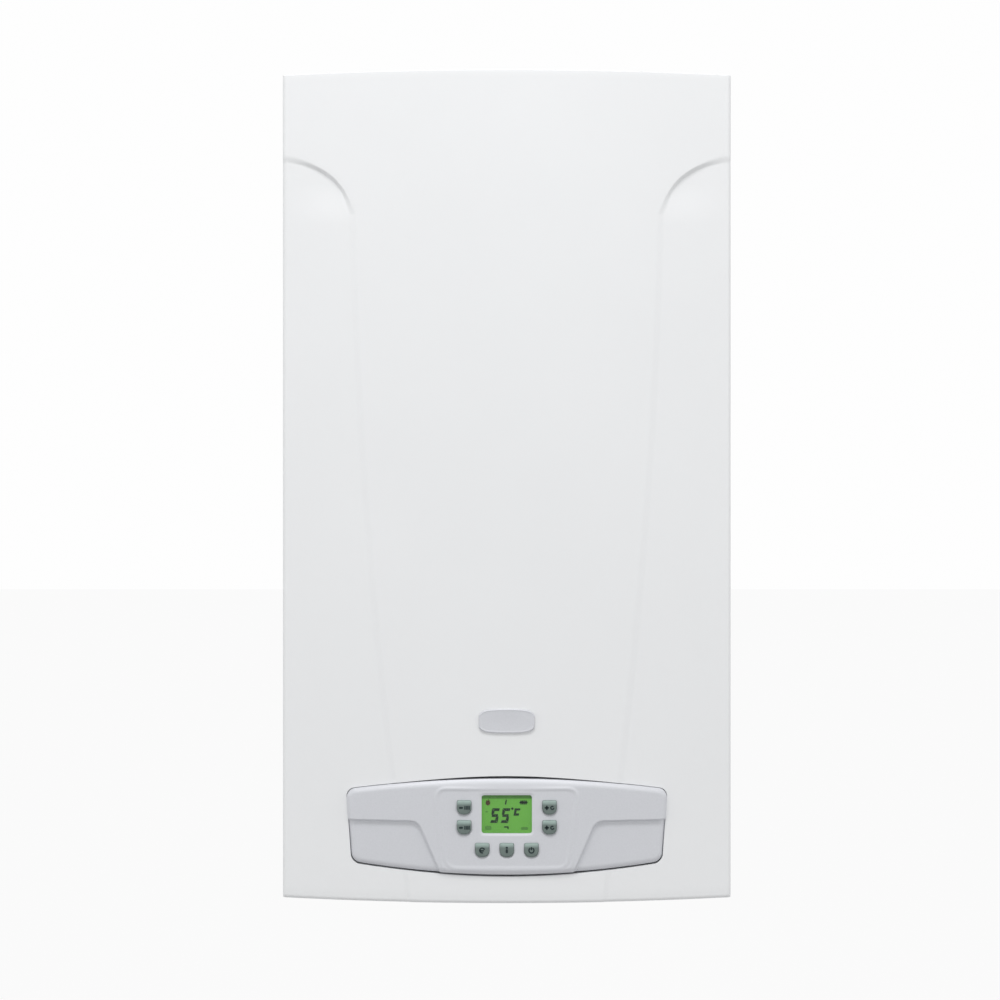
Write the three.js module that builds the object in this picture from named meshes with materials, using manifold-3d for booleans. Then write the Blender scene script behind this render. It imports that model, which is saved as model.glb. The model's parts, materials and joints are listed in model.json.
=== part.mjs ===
// A wall-hung combination boiler with a room-sealed burner, a fan flue and a pumped water side.
// Millimetres. +X is right as seen from the front, -Y is forward, +Z is up.
// The origin is on the wall, at the middle of the casing's width and height.
import * as THREE from "three";
import { mergeVertices } from "three/addons/utils/BufferGeometryUtils.js";
import Module from "manifold-3d";

const wasm = await Module();
wasm.setup();

// ---------------------------------------------------------------- driving dimensions

// Casing
const WIDTH = 400;
const HEIGHT = 730;
const COVER_DEPTH = 293; // wall to the crown of the front cover
const COVER_BOW = 28; // the crown stands this far in front of the cover's side edges
const SHEET = 1;
const GAP = 0.3; // between a piece and its seat
const COVER_FLANGE = 27; // how far the cover's sides reach back from its face
const SIDE_RETURN = 12;
const EDGE_RADIUS = 5; // front cover, from face to side
const END_RADIUS = 2.5; // and from face to top and bottom

// Raised centre panel of the front cover
const PANEL_HALF_TOP = 134.7; // half width of the centre panel where its shoulders start
const PANEL_HALF_MIDDLE = 124.7; // at mid height
const PANEL_HALF_BOTTOM = 85.5; // at the bottom edge
const SHOULDER_START = 240; // height at which the shoulder curve leaves the centre panel
const SHOULDER_END = 292.5; // height at which it meets the side of the cover
const SHOULDER_STEP = 4; // depth of the recess under the shoulder
const SHOULDER_WIDTH = 4; // of the step's slope there
const SHOULDER_FOOT = 235; // the deep step begins at this height
const SHOULDER_FADE = 35; // and reaches its full depth over this height
const SIDE_FADE = 25; // it fades out over this width at the cover's side
const WAIST_STEP = 1.2; // depth of the recess below the shoulder
const WAIST_WIDTH = 7;

// Control panel
const FASCIA_RISE = 4.2; // the control panel's crown stands this far in front of the cover's
const FASCIA_HALF = 141.4;
const FASCIA_TOP = -253.1; // at the middle
const FASCIA_BOTTOM = -338.9;
const FASCIA_TOP_DROP = 11; // the top edge falls this much towards its ends
const FASCIA_BOTTOM_RISE = 9.5;
const FASCIA_SLANT = 6; // the ends lean in this much towards the bottom
const FASCIA_CORNER = 7;
const FASCIA_BEVEL = 2;
const FASCIA_WALL = 2.5;
const FASCIA_GAP = 1.2; // to the front cover
const FASCIA_GAP_BELOW = 1.6;
const WING_STEP = 2.4; // the lower wings lie this much behind the panel
const WING_TOP = -293;
const WING_HALF = 79.8; // half width of the panel between the wings, at their top
const WING_SHOULDER = 6;
const WING_HALF_LOW = 58;
const PAD_RISE = 0.8;
const PAD_HALF_TOP = 62;
const PAD_HALF_BOTTOM = 53;
const PAD_TOP = -262.1;
const PAD_BOTTOM = -327.6;
const PAD_RADIUS = 10;

// Display and buttons
const WINDOW_WIDTH = 43.6;
const WINDOW_HEIGHT = 33;
const WINDOW_Z = -286.2;
const WINDOW_RADIUS = 2;
const WINDOW_THICKNESS = 2;
const BUTTON_WIDTH = 13.5;
const BUTTON_HEIGHT = 12.7;
const BUTTON_RISE = 1; // in front of the pad
const BUTTON_TRAVEL = 1.2;
const BUTTON_LIP = 1.2;
const BUTTON_COLUMN_X = 37.3;
const BUTTON_UPPER_Z = -280.2;
const BUTTON_LOWER_Z = -297.6;
const BUTTON_ROW_X = 21.5;
const BUTTON_ROW_Z = -317.4;
const BUTTON_STEM = 3; // radius

// Badge
const BADGE_WIDTH = 48.6;
const BADGE_HEIGHT = 21.4;
const BADGE_Z = -205;
const BADGE_THICKNESS = 1.8;

// Control box and its hinge
const BOX_HALF = 146;
const BOX_TOP = -250;
const BOX_BOTTOM = -345;
const BOX_SETBACK = 21; // behind the cover's crown
const BOX_DEPTH = 64;
const BOX_WALL = 2;
const MOUTH_HALF = 54; // half width of the box's mouth behind the display and keys
const LID_RIM = 6; // how far the box's lid reaches in
const BOARD_HALF = 122;
const BOARD_THICKNESS = 1.6;
const PIVOT_AHEAD = 3; // in front of the box's face
const PIVOT_BELOW = 9; // under the box's floor
const PIVOT_RADIUS = 3;
const PIVOT_CLEARANCE = 0.35;
const EAR_RADIUS = 6;
const EAR_THICKNESS = 4;
const LUG_X = 104; // inner face of each hinge lug
const LUG_RADIUS = 7;
const LUG_THICKNESS = 2;
const RAIL_DEPTH = 18;
const RAIL_HEIGHT = 15;
const RAIL_SHEET = 1.5;

// Back frame
const FRAME_SHEET = 1.5;
const FRAME_DEPTH = 70;
const FRAME_RETURN = 20;
const FRAME_INSET = 3; // shorter than the casing, at each end
const HANG_SLOT_X = 110;
const HANG_SLOT_WIDTH = 34;
const HANG_SLOT_HEIGHT = 10;
const HANG_SLOT_BELOW_TOP = 28;

// Sealed chamber
const CHAMBER_HALF = 186;
const CHAMBER_TOP = 352;
const CHAMBER_BOTTOM = -62;
const CHAMBER_SETBACK = 10; // behind the side panels' front edges
const CHAMBER_LIP = 9;
const LID_EMBOSS = 3;
const LID_BORDER = 26;
const LID_CORNER = 20;
const SIGHT_Z = 60;
const SIGHT_RADIUS = 14;

// Flue
const FLUE_RADIUS = 30; // inner flue spigot, outside
const FLUE_WALL = 1;
const COLLAR_RADIUS = 50; // air collar, inside
const COLLAR_WALL = 1.2;
const COLLAR_FLANGE = 12;
const FLUE_TOP = 378;
const PORT_X = 122;
const PORT_RADIUS = 38;

// Fan
const FAN_Z = 294;
const FAN_DEPTH = 60;
const FAN_SETBACK = 56; // behind the chamber's mouth, which leaves room for the motor
const FAN_WALL = 1.2;
const FAN_HEADROOM = 8; // from the top of its duct to the chamber's top
const SCROLL_START = 50;
const SCROLL_END = 70;
const IMPELLER_RADIUS = 44;
const IMPELLER_DEPTH = 40;
const IMPELLER_BLADES = 12;
const IMPELLER_CLEARANCE = 5; // behind the housing's front wall
const BLADE_ROOT = 35; // radius
const BLADE_THICKNESS = 1.2;
const BLADE_SWEEP = 0.28; // radians, forwards
const BLADE_STEPS = 2;
const SCROLL_STEPS = 14;
const HUB_RADIUS = 12;
const HUB_LENGTH = 14;
const FAN_INLET = 33;
const FAN_MOTOR_RADIUS = 34;
const FAN_MOTOR_LENGTH = 48;
const FAN_SHAFT = 4;
const SWITCH_X = 112; // the air pressure switch

// Fire side
const HEARTH_HALF = 118;
const HEARTH_SETBACK = 36; // behind the chamber's mouth
const BURNER_BOTTOM = -28;
const BURNER_TOP = 26;
const BURNER_BLADES = 10;
const BURNER_PITCH = 22;
const BLADE_WIDTH = 9;
const BLADE_FOOT = 16; // height of a blade's flared foot
const BLADE_HEAD = 12; // and of its flame head
const MANIFOLD_SIZE = 14;
const MANIFOLD_Z = -15;
const JET_Z = -17;
const JET_RADIUS = 2.2;
const HEARTH_TOP = 165;
const INSULATION = 12;
const ELECTRODE_X = 60;
const ELECTRODE_Z = 40;
const ELECTRODE_RADIUS = 4.1;
const EXCHANGER_HEIGHT = 50;
const FIN_COUNT = 16;
const FIN_THICKNESS = 2.4;
const EXCHANGER_TUBE = 8;
const MIN_PASS_PITCH = 20; // between the middles of its tubes
const EXCHANGER_INSET = 4; // from the hearth's front and back
const PASS_INSET = 12; // its first and last pass, from its front and back
const PORT_END = 128; // its two ports end this far from the middle
const HOOD_HEIGHT = 12;
const HOOD_DUCT_HALF = 45;

// Water and gas connections, left to right as seen from the front
const PORT_LINE_Y = -95;
const FLOW_X = -130;
const HOT_X = -65;
const GAS_X = 0;
const COLD_X = 65;
const RETURN_X = 130;
const THREE_QUARTER = 13.2; // radius of a 3/4 inch male thread
const HALF_INCH = 10.5; // radius of a 1/2 inch male thread
const STUB_END = -390;
const PLATE_Z = -350;
const PLATE_FRONT = -162;
const PLATE_SHEET = 2;
const PLATE_LIP = 10;
const STUB_HOLE = 1; // clearance round each stub

// Water side
const PIPE = 9; // radius of the heating pipes
const GAS_PIPE = 8;
const THIN_PIPE = 5;
const RISER_X = 145; // the heating pipes' long runs, each side of the hearth
const BELOW_PORTS = 70; // where they end, under the exchanger's ports
const BELOW_CHAMBER = 48; // and under the chamber's floor
const RISER_JOG = 40; // height over which the flow pipe moves sideways at their top
const FOOT_JOG = 50; // and at their foot
const RETURN_JOG = 30; // the return pipe's, at both
const BEND = 18;
const GROUP_TOP = -290;
const GROUP_BOTTOM = -345;
const GROUP_BACK = -58.3;
const GROUP_FRONT = -112;
const GROUP_END = 20; // each group reaches this far past the middle of its outer stubs
const VESSEL_WIDTH = 250;
const VESSEL_HEIGHT = 350;
const VESSEL_DEPTH = 63;
const VESSEL_Z = 145;
const VESSEL_CORNER = 46;
const VESSEL_EDGE = 14; // how far its faces round off
const VESSEL_SEAM = 5;
const VESSEL_PIPE_X = 60;
const VESSEL_NECK_Y = -82; // its pipe's neck on the return group
const PUMP_X = 118;
const PUMP_Z = -235;
const PUMP_RADIUS = 44;
const PUMP_WALL = 4;
const PUMP_BACK = -74;
const PUMP_FRONT = -116;
const PUMP_MOTOR_RADIUS = 42;
const PUMP_TO_BOX = 18; // between the pump motor and the control box
const PUMP_WHEEL_RADIUS = 30;
const PUMP_SHAFT = 4;
const VENT_X = 62;
const VENT_RADIUS = 13;
const VENT_ABOVE_PUMP = 18;
const VALVE_WIDTH = 64;
const VALVE_DEPTH = 56;
const VALVE_TOP = -160;
const VALVE_BOTTOM = -250;
const PLATES_HALF = 95;
const PLATES_HEIGHT = 72;
const PLATE_COUNT = 9;
const GAUGE_X = 22;
const GAUGE_Y = -138;
const GAUGE_RADIUS = 19;
const GAUGE_DEPTH = 24;
const DIVERTER_WIDTH = 38;
const DIVERTER_DEPTH = 46;
const SAFETY_Z = -318;
const TAP_X = 97;
const TAP_Y = -130;
const KNOB_LENGTH = 14;
const LOBE_RADIUS = 2.5;
const LOBE_RISE = 1.5;

// Facets of round pieces
const FINE = 16;
const MEDIUM = 12;
const COARSE = 8;
const HEX = 6;
const BEND_STEPS = 4;
const ARC_STEP = Math.PI / 6; // of a bent pipe

// ---------------------------------------------------------------- sizes that follow

const HALF = WIDTH / 2;
const TOP = HEIGHT / 2;
const BOTTOM = -HEIGHT / 2;
const COVER_HALF = HALF - SHEET;
const BOW_RADIUS = (COVER_HALF ** 2 + COVER_BOW ** 2) / (2 * COVER_BOW);
const SIDE_DEPTH = COVER_DEPTH - COVER_BOW - COVER_FLANGE;
const COVER_BACK = -SIDE_DEPTH - GAP;
const FASCIA_DEPTH = COVER_DEPTH + FASCIA_RISE;
const BOX_FRONT = BOX_SETBACK - COVER_DEPTH;
const BOX_BACK = BOX_FRONT + BOX_DEPTH;
const VENT_BASE = PUMP_Z + VENT_ABOVE_PUMP;
const PUMP_TOP = PUMP_Z + PUMP_RADIUS + 14; // of its outlet
const PIVOT_Y = BOX_FRONT - PIVOT_AHEAD;
const PIVOT_Z = BOX_BOTTOM - PIVOT_BELOW;
const CHAMBER_FRONT = CHAMBER_SETBACK - SIDE_DEPTH;
const FAN_FRONT = CHAMBER_FRONT + FAN_SETBACK;
const FAN_BACK = FAN_FRONT + FAN_DEPTH;
const FLUE_Y = (FAN_FRONT + FAN_BACK) / 2;
const HEARTH_FRONT = CHAMBER_FRONT + HEARTH_SETBACK;
const MANIFOLD_Y = HEARTH_FRONT - MANIFOLD_SIZE;
const FLOW_RISER_Y = HEARTH_FRONT + 3 * PIPE;
const FRAME_HALF = HALF - SHEET - GAP;
const CHAMBER_BACK = -FRAME_DEPTH - GAP;
const HEARTH_BACK = CHAMBER_BACK - SHEET - GAP;
const EXCHANGER_BOTTOM = HEARTH_TOP + GAP;
const EXCHANGER_TOP = EXCHANGER_BOTTOM + EXCHANGER_HEIGHT;
const EXCHANGER_MIDDLE = EXCHANGER_BOTTOM + EXCHANGER_HEIGHT / 2;
const FIRST_PASS_Y = HEARTH_FRONT + EXCHANGER_INSET + PASS_INSET;
const LAST_PASS_Y = HEARTH_BACK - EXCHANGER_INSET - PASS_INSET;
// An odd number of passes, so that flow and return leave on opposite sides.
const EXCHANGER_PASSES = 1 + 2 * Math.floor((LAST_PASS_Y - FIRST_PASS_Y) / (2 * MIN_PASS_PITCH));
const FAN_X = FLUE_RADIUS - SCROLL_END; // puts the scroll's outlet under the flue
const PAD_DEPTH = FASCIA_DEPTH + PAD_RISE;
const BOARD_FRONT = BOX_FRONT + BOX_WALL + GAP;
const BOARD_LOW = BOX_BOTTOM + BOX_WALL + 5;
const BOARD_HIGH = BOX_TOP - BOX_WALL - 5;
const SWITCH_FRONT = BOARD_FRONT - 4;
const AXIS_INDEX = { x: 0, y: 1, z: 2 };
const THROUGH = 10; // how far a cutting tool reaches past a sheet

// ---------------------------------------------------------------- making solids

// The span that a cutting tool takes to pass right through a sheet.
function across(sheet) {
  return [sheet - THROUGH, sheet + THROUGH];
}

// A span on the right side (sign 1), or its mirror image on the left.
function onSide(sign, low, high) {
  return [sign * low, sign * high].sort((a, b) => a - b);
}

// A closed three.js geometry as a solid that can be joined and cut.
function solid(geometry) {
  const bare = geometry.clone();
  bare.deleteAttribute("normal");
  bare.deleteAttribute("uv");
  const merged = mergeVertices(bare, 1e-4);
  return new wasm.Manifold(
    new wasm.Mesh({
      numProp: 3,
      vertProperties: new Float32Array(merged.attributes.position.array),
      triVerts: new Uint32Array(merged.index.array),
    }),
  );
}

function geometryOf(body) {
  const { vertProperties, triVerts } = body.getMesh();
  const geometry = new THREE.BufferGeometry();
  geometry.setAttribute("position", new THREE.BufferAttribute(vertProperties, 3));
  geometry.setIndex(new THREE.BufferAttribute(triVerts, 1));
  return geometry;
}

function join(...geometries) {
  return geometryOf(geometries.map(solid).reduce((whole, more) => whole.add(more)));
}

function cut(geometry, ...tools) {
  return geometryOf(tools.map(solid).reduce((rest, tool) => rest.subtract(tool), solid(geometry)));
}

function common(geometry, other) {
  return geometryOf(solid(geometry).intersect(solid(other)));
}

// The same geometry with its faces turned outwards.
function outward(geometry) {
  const flat = geometry.index ? geometry.toNonIndexed() : geometry;
  const position = flat.getAttribute("position");
  const [a, b, c] = [new THREE.Vector3(), new THREE.Vector3(), new THREE.Vector3()];
  let volume = 0;
  for (let i = 0; i < position.count; i += 3) {
    a.fromBufferAttribute(position, i);
    b.fromBufferAttribute(position, i + 1);
    c.fromBufferAttribute(position, i + 2);
    volume += a.dot(b.cross(c));
  }
  if (volume > 0) return geometry;
  const swapped = flat.clone();
  const array = swapped.getAttribute("position").array;
  for (let i = 0; i < array.length; i += 9) {
    for (let k = 0; k < 3; k += 1) {
      [array[i + 3 + k], array[i + 6 + k]] = [array[i + 6 + k], array[i + 3 + k]];
    }
  }
  return swapped;
}

// A block between two limits on each axis.
function block(x, y, z) {
  const size = [x, y, z].map(([low, high]) => high - low);
  const middle = [x, y, z].map(([low, high]) => (low + high) / 2);
  return new THREE.BoxGeometry(...size).translate(...middle);
}

// A round bar along an axis, over a span of it; at holds its centre on the other two.
function bar(axis, radius, span, at, sides = MEDIUM) {
  const [low, high] = span;
  const geometry = new THREE.CylinderGeometry(radius, radius, high - low, sides);
  return along(geometry.translate(0, (low + high) / 2, 0), axis, at);
}

// Turns what was made along Y onto an axis, and moves it across.
function along(geometry, axis, at) {
  const [a, b] = at;
  if (axis === "x") return geometry.rotateZ(-Math.PI / 2).translate(0, a, b);
  if (axis === "z") return geometry.rotateX(Math.PI / 2).translate(a, b, 0);
  return geometry.translate(a, 0, b);
}

// A body turned about an axis; the profile's points are [radius, distance along the axis].
function turned(axis, profile, at, sides = MEDIUM) {
  const points = profile.map(([radius, distance]) => new THREE.Vector2(radius, distance));
  return outward(along(new THREE.LatheGeometry(points, sides), axis, at));
}

// A tube wall turned about an axis.
function ring(axis, inner, outer, span, at) {
  const [low, high] = span;
  const profile = [[inner, low], [outer, low], [outer, high], [inner, high], [inner, low]];
  return turned(axis, profile, at, FINE);
}

const EXTRUDE_BASES = {
  x: [[0, 1, 0], [0, 0, 1], [1, 0, 0]],
  y: [[0, 0, 1], [1, 0, 0], [0, 1, 0]],
  z: [[1, 0, 0], [0, 1, 0], [0, 0, 1]],
};

// A shape pushed along an axis. It is drawn in (y, z) for x, in (z, x) for y and in (x, y) for z.
function pushed(axis, shape, span, curveSegments = 3) {
  const [low, high] = span;
  const geometry = new THREE.ExtrudeGeometry(shape, {
    depth: high - low,
    bevelEnabled: false,
    curveSegments,
  });
  const basis = EXTRUDE_BASES[axis].map((column) => new THREE.Vector3(...column));
  geometry.translate(0, 0, low);
  return geometry.applyMatrix4(new THREE.Matrix4().makeBasis(...basis));
}

function outline(points) {
  return new THREE.Shape(points.map(([a, b]) => new THREE.Vector2(a, b)));
}

function roundedRect(centreA, centreB, sizeA, sizeB, radius) {
  const [a, b] = [centreA - sizeA / 2, centreB - sizeB / 2];
  const shape = new THREE.Shape();
  shape.moveTo(a + radius, b);
  shape.lineTo(a + sizeA - radius, b);
  shape.absarc(a + sizeA - radius, b + radius, radius, -Math.PI / 2, 0);
  shape.lineTo(a + sizeA, b + sizeB - radius);
  shape.absarc(a + sizeA - radius, b + sizeB - radius, radius, 0, Math.PI / 2);
  shape.lineTo(a + radius, b + sizeB);
  shape.absarc(a + radius, b + sizeB - radius, radius, Math.PI / 2, Math.PI);
  shape.lineTo(a, b + radius);
  shape.absarc(a + radius, b + radius, radius, Math.PI, Math.PI * 1.5);
  return shape;
}

// A skin through rings of points, all with as many points, closed by a flat cap at each end.
// flat names the two axes in which the caps are laid out.
function loft(rings, flat) {
  const size = rings[0].length;
  const faces = [];
  rings.slice(1).forEach((_, row) => {
    for (let i = 0; i < size; i += 1) {
      const [a, b] = [row * size + i, row * size + ((i + 1) % size)];
      faces.push([a, b, b + size], [a, b + size, a + size]);
    }
  });
  const last = (rings.length - 1) * size;
  const [u, v] = flat.split("").map((name) => AXIS_INDEX[name]);
  const capOf = (points) => {
    const flatPoints = points.map((point) => new THREE.Vector2(point[u], point[v]));
    const found = THREE.ShapeUtils.triangulateShape(flatPoints, []);
    return THREE.ShapeUtils.isClockWise(flatPoints) ? found.map(([a, b, c]) => [a, c, b]) : found;
  };
  faces.push(...capOf(rings[0]).map(([a, b, c]) => [a, c, b]));
  faces.push(...capOf(rings.at(-1)).map((face) => face.map((i) => i + last)));
  const geometry = new THREE.BufferGeometry();
  geometry.setAttribute("position", new THREE.Float32BufferAttribute(rings.flat(2), 3));
  geometry.setIndex(faces.flat());
  return outward(geometry.toNonIndexed());
}

// A pipe's centre line: straight runs joined by arcs, with stations only where it bends.
class PipeRun extends THREE.Curve {
  constructor(corners, bend) {
    super();
    const points = corners.map((corner) => new THREE.Vector3(...corner));
    this.stations = [];
    const straight = new THREE.Vector3().subVectors(points[1], points[0]).normalize();
    this.stations.push({ point: points[0], tangent: straight });
    for (let i = 1; i < points.length - 1; i += 1) {
      this.addBend(points[i - 1], points[i], points[i + 1], bend);
    }
    const end = new THREE.Vector3().subVectors(points.at(-1), points.at(-2)).normalize();
    this.stations.push({ point: points.at(-1), tangent: end });
  }

  addBend(before, corner, after, bend) {
    const into = new THREE.Vector3().subVectors(corner, before).normalize();
    const out = new THREE.Vector3().subVectors(after, corner).normalize();
    const angle = into.angleTo(out);
    const setback = bend * Math.tan(angle / 2);
    const start = corner.clone().addScaledVector(into, -setback);
    const inwards = out.clone().addScaledVector(into, -into.dot(out)).normalize();
    const arcSteps = Math.max(1, Math.ceil(angle / ARC_STEP - 0.01));
    for (let k = 0; k <= arcSteps; k += 1) {
      const a = (angle * k) / arcSteps;
      const point = start.clone();
      point.addScaledVector(into, bend * Math.sin(a));
      point.addScaledVector(inwards, bend * (1 - Math.cos(a)));
      const tangent = into.clone().multiplyScalar(Math.cos(a));
      this.stations.push({ point, tangent: tangent.addScaledVector(inwards, Math.sin(a)) });
    }
  }

  get steps() {
    return this.stations.length - 1;
  }

  getPointAt(share, target = new THREE.Vector3()) {
    return target.copy(this.stations[Math.round(share * this.steps)].point);
  }

  getTangentAt(share, target = new THREE.Vector3()) {
    return target.copy(this.stations[Math.round(share * this.steps)].tangent);
  }
}

function pipe(corners, radius, bend = BEND) {
  const path = new PipeRun(corners, bend);
  const section = new THREE.Shape();
  section.absarc(0, 0, radius, 0, Math.PI * 2);
  return outward(
    new THREE.ExtrudeGeometry(section, {
      steps: path.steps,
      extrudePath: path,
      curveSegments: COARSE / 2,
    }),
  );
}

// ---------------------------------------------------------------- finishes

const FINISHES = {
  white: { color: 0xeceded, roughness: 0.35, metalness: 0 },
  silverPlastic: { color: 0xc6c8cc, roughness: 0.4, metalness: 0.1 },
  galvanised: { color: 0xb4b8ba, roughness: 0.5, metalness: 0.7 },
  aluminised: { color: 0xc9cbca, roughness: 0.45, metalness: 0.7 },
  stainless: { color: 0xc4c6c8, roughness: 0.3, metalness: 0.9 },
  copper: { color: 0xc07850, roughness: 0.35, metalness: 0.9 },
  brass: { color: 0xc2a45c, roughness: 0.35, metalness: 0.9 },
  aluminium: { color: 0xbfc2c4, roughness: 0.45, metalness: 0.8 },
  blackPlastic: { color: 0x26282a, roughness: 0.5, metalness: 0 },
  greyPlastic: { color: 0x8e9396, roughness: 0.5, metalness: 0 },
  paleGrey: { color: 0xd6d8d8, roughness: 0.5, metalness: 0 },
  buttonGrey: { color: 0x7f908b, roughness: 0.55, metalness: 0 },
  red: { color: 0xb8322a, roughness: 0.45, metalness: 0 },
  vesselRed: { color: 0xa8322c, roughness: 0.4, metalness: 0 },
  fibre: { color: 0xe4dfd2, roughness: 0.95, metalness: 0 },
  ceramic: { color: 0xf0ede4, roughness: 0.3, metalness: 0 },
  glass: { color: 0xdfe8e6, roughness: 0.05, metalness: 0, transparent: true, opacity: 0.35 },
  display: { color: 0x69af46, roughness: 0.3, metalness: 0 },
  board: { color: 0x2f6b3c, roughness: 0.5, metalness: 0 },
  castIron: { color: 0x3a4044, roughness: 0.6, metalness: 0.4 },
};

const boiler = new THREE.Group();

function add(name, geometry, finish) {
  geometry.deleteAttribute("uv");
  const shown = geometry.index ? geometry.toNonIndexed() : geometry;
  shown.computeVertexNormals();
  const mesh = new THREE.Mesh(shown, new THREE.MeshStandardMaterial(FINISHES[finish]));
  mesh.name = name;
  boiler.add(mesh);
  return mesh;
}

// ---------------------------------------------------------------- the bowed front

// How far the bowed face falls back from its crown at a distance from the middle.
function bow(x) {
  return BOW_RADIUS - Math.sqrt(BOW_RADIUS ** 2 - x ** 2);
}

// Half width of the raised centre panel below its shoulders: a parabola through three widths.
function waist(z) {
  const up = (PANEL_HALF_TOP - PANEL_HALF_MIDDLE) / SHOULDER_START;
  const down = (PANEL_HALF_BOTTOM - PANEL_HALF_MIDDLE) / BOTTOM;
  const curve = (up - down) / (SHOULDER_START - BOTTOM);
  return PANEL_HALF_MIDDLE + z * (up + curve * (z - SHOULDER_START));
}

const SHOULDER = new THREE.CubicBezierCurve(
  new THREE.Vector2(waist(SHOULDER_START), SHOULDER_START),
  new THREE.Vector2(waist(SHOULDER_START) + 2, SHOULDER_START + 27),
  new THREE.Vector2(COVER_HALF - 33, SHOULDER_END - 10),
  new THREE.Vector2(COVER_HALF, SHOULDER_END),
);
const SHOULDER_POINTS = SHOULDER.getPoints(24);

// Half width of the centre panel at any height, and how fast it grows with height.
function panelHalf(z) {
  if (z <= SHOULDER_START) return { half: waist(z), slope: 0.05 };
  const next = SHOULDER_POINTS.findIndex((point) => point.y > z);
  const high = next < 1 ? SHOULDER_POINTS.length - 1 : next;
  const [a, b] = [SHOULDER_POINTS[high - 1], SHOULDER_POINTS[high]];
  const slope = (b.x - a.x) / (b.y - a.y);
  return { half: a.x + slope * (z - a.y), slope };
}

function smooth(share) {
  const t = THREE.MathUtils.clamp(share, 0, 1);
  return t * t * (3 - 2 * t);
}

// Depth of the side recess at a point of the cover's face.
function recess(x, z) {
  const { half, slope } = panelHalf(z);
  const outside = (Math.abs(x) - half) / Math.hypot(1, slope);
  const share = shoulderShare(x, z);
  const depth = WAIST_STEP + (SHOULDER_STEP - WAIST_STEP) * share;
  return depth * smooth(outside / stepWidth(share) + 0.5);
}

// 1 where the step is the shoulder's, 0 where it is the waist's or has faded out at the side.
function shoulderShare(x, z) {
  const fromSide = COVER_HALF - Math.abs(x);
  return smooth((z - SHOULDER_FOOT) / SHOULDER_FADE) * smooth(fromSide / SIDE_FADE);
}

function stepWidth(share) {
  return WAIST_WIDTH + (SHOULDER_WIDTH - WAIST_WIDTH) * share;
}

// Places across one half of the cover's face at a height, from the middle to the rounded edge.
function acrossFace(z) {
  const { half, slope } = panelHalf(z);
  const spread = (stepWidth(shoulderShare(half, z)) / 2) * Math.hypot(1, slope);
  const limit = COVER_HALF - EDGE_RADIUS;
  const inner = Math.min(half - spread, limit - 6);
  const outer = Math.min(half + spread, limit - 3);
  const side = outer + (limit - outer) / 2;
  return [0.36, 0.7, 1].map((share) => inner * share).concat(outer, side, limit);
}

// One half of the face at a height, as [x, y] from the middle round to the back of the side.
// It is inset by the sheet for the inner skin, and set back where the face rounds off.
function halfSection(z, inset, back) {
  const half = COVER_HALF - inset;
  const radius = EDGE_RADIUS - inset;
  const depth = inset + back - COVER_DEPTH;
  const face = acrossFace(z).map((x) => [x, depth + bow(x) + recess(x, z)]);
  const [edgeX, edgeY] = face.at(-1);
  const slant = radius * Math.SQRT1_2;
  const round = [[edgeX + slant, edgeY + radius - slant], [half, edgeY + radius]];
  return [...face, ...round, [half, COVER_BACK]];
}

// The cover's section at a level [height, set back]: along the outside, and back along the inside.
function coverRing([z, back]) {
  const mirror = (points) => points.map(([x, y]) => [-x, y]).reverse();
  const skin = (inset) => {
    const half = halfSection(z, inset, back);
    return [...mirror(half), [0, inset + back - COVER_DEPTH], ...half];
  };
  return [...skin(0), ...skin(SHEET).reverse()].map(([x, y]) => [x, y, z]);
}

// The plate that closes the cover at its top or bottom, with the outline of the face there.
function coverEnd(z, thickness) {
  const inset = SHEET / 2;
  const half = halfSection(z, inset, END_RADIUS);
  const middle = [0, inset + END_RADIUS - COVER_DEPTH];
  const points = [...half.map(([x, y]) => [-x, y]).reverse(), middle, ...half];
  return pushed("z", outline(points), [z, z + thickness].sort((a, b) => a - b));
}

// ---------------------------------------------------------------- the control panel's outline

// Half width of the control panel at a height.
function fasciaHalf(z, grow) {
  const fall = (FASCIA_TOP - z) / (FASCIA_TOP - FASCIA_BOTTOM);
  return FASCIA_HALF - FASCIA_SLANT * fall * fall + grow;
}

// Top and bottom of the control panel at a share of its half width, with rounded corners.
function fasciaEdges(share, grow, growBelow = grow) {
  const fromEnd = (1 - Math.abs(share)) * FASCIA_HALF;
  const into = Math.max(0, FASCIA_CORNER - fromEnd);
  const corner = FASCIA_CORNER - Math.sqrt(FASCIA_CORNER ** 2 - into ** 2);
  return {
    high: FASCIA_TOP - FASCIA_TOP_DROP * share * share - corner + grow,
    low: FASCIA_BOTTOM + FASCIA_BOTTOM_RISE * share * share + corner - growBelow,
  };
}

// Columns across the control panel, as shares of its half width, closer at the corners.
function fasciaColumns() {
  const corner = FASCIA_CORNER / FASCIA_HALF;
  const ends = [90, 45, 0].map((a) => 1 - corner * (1 - Math.sin(THREE.MathUtils.degToRad(a))));
  const right = [0, 0.25, 0.5, 0.75, ...ends.reverse()];
  const left = right.slice(1).map((share) => -share);
  return [...left.reverse(), ...right];
}

// A slab with the panel's outline and a bowed, bevelled front.
function fasciaSlab(crown, back, grow, bevel) {
  const rings = fasciaColumns().map((share) => {
    const { high, low } = fasciaEdges(share, grow);
    const atEnd = Math.abs(share) > 0.999;
    const point = (y, z) => [share * fasciaHalf(z, grow), y, z];
    const face = (z) => -crown + bow(share * fasciaHalf(z, grow));
    const step = atEnd ? bevel : 0;
    return [
      point(back, low),
      point(face(low) + bevel, low),
      point(face(low) + step, low + bevel),
      point(face(high) + step, high - bevel),
      point(face(high) + bevel, high),
      point(back, high),
    ];
  });
  return loft(rings, "yz");
}

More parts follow.
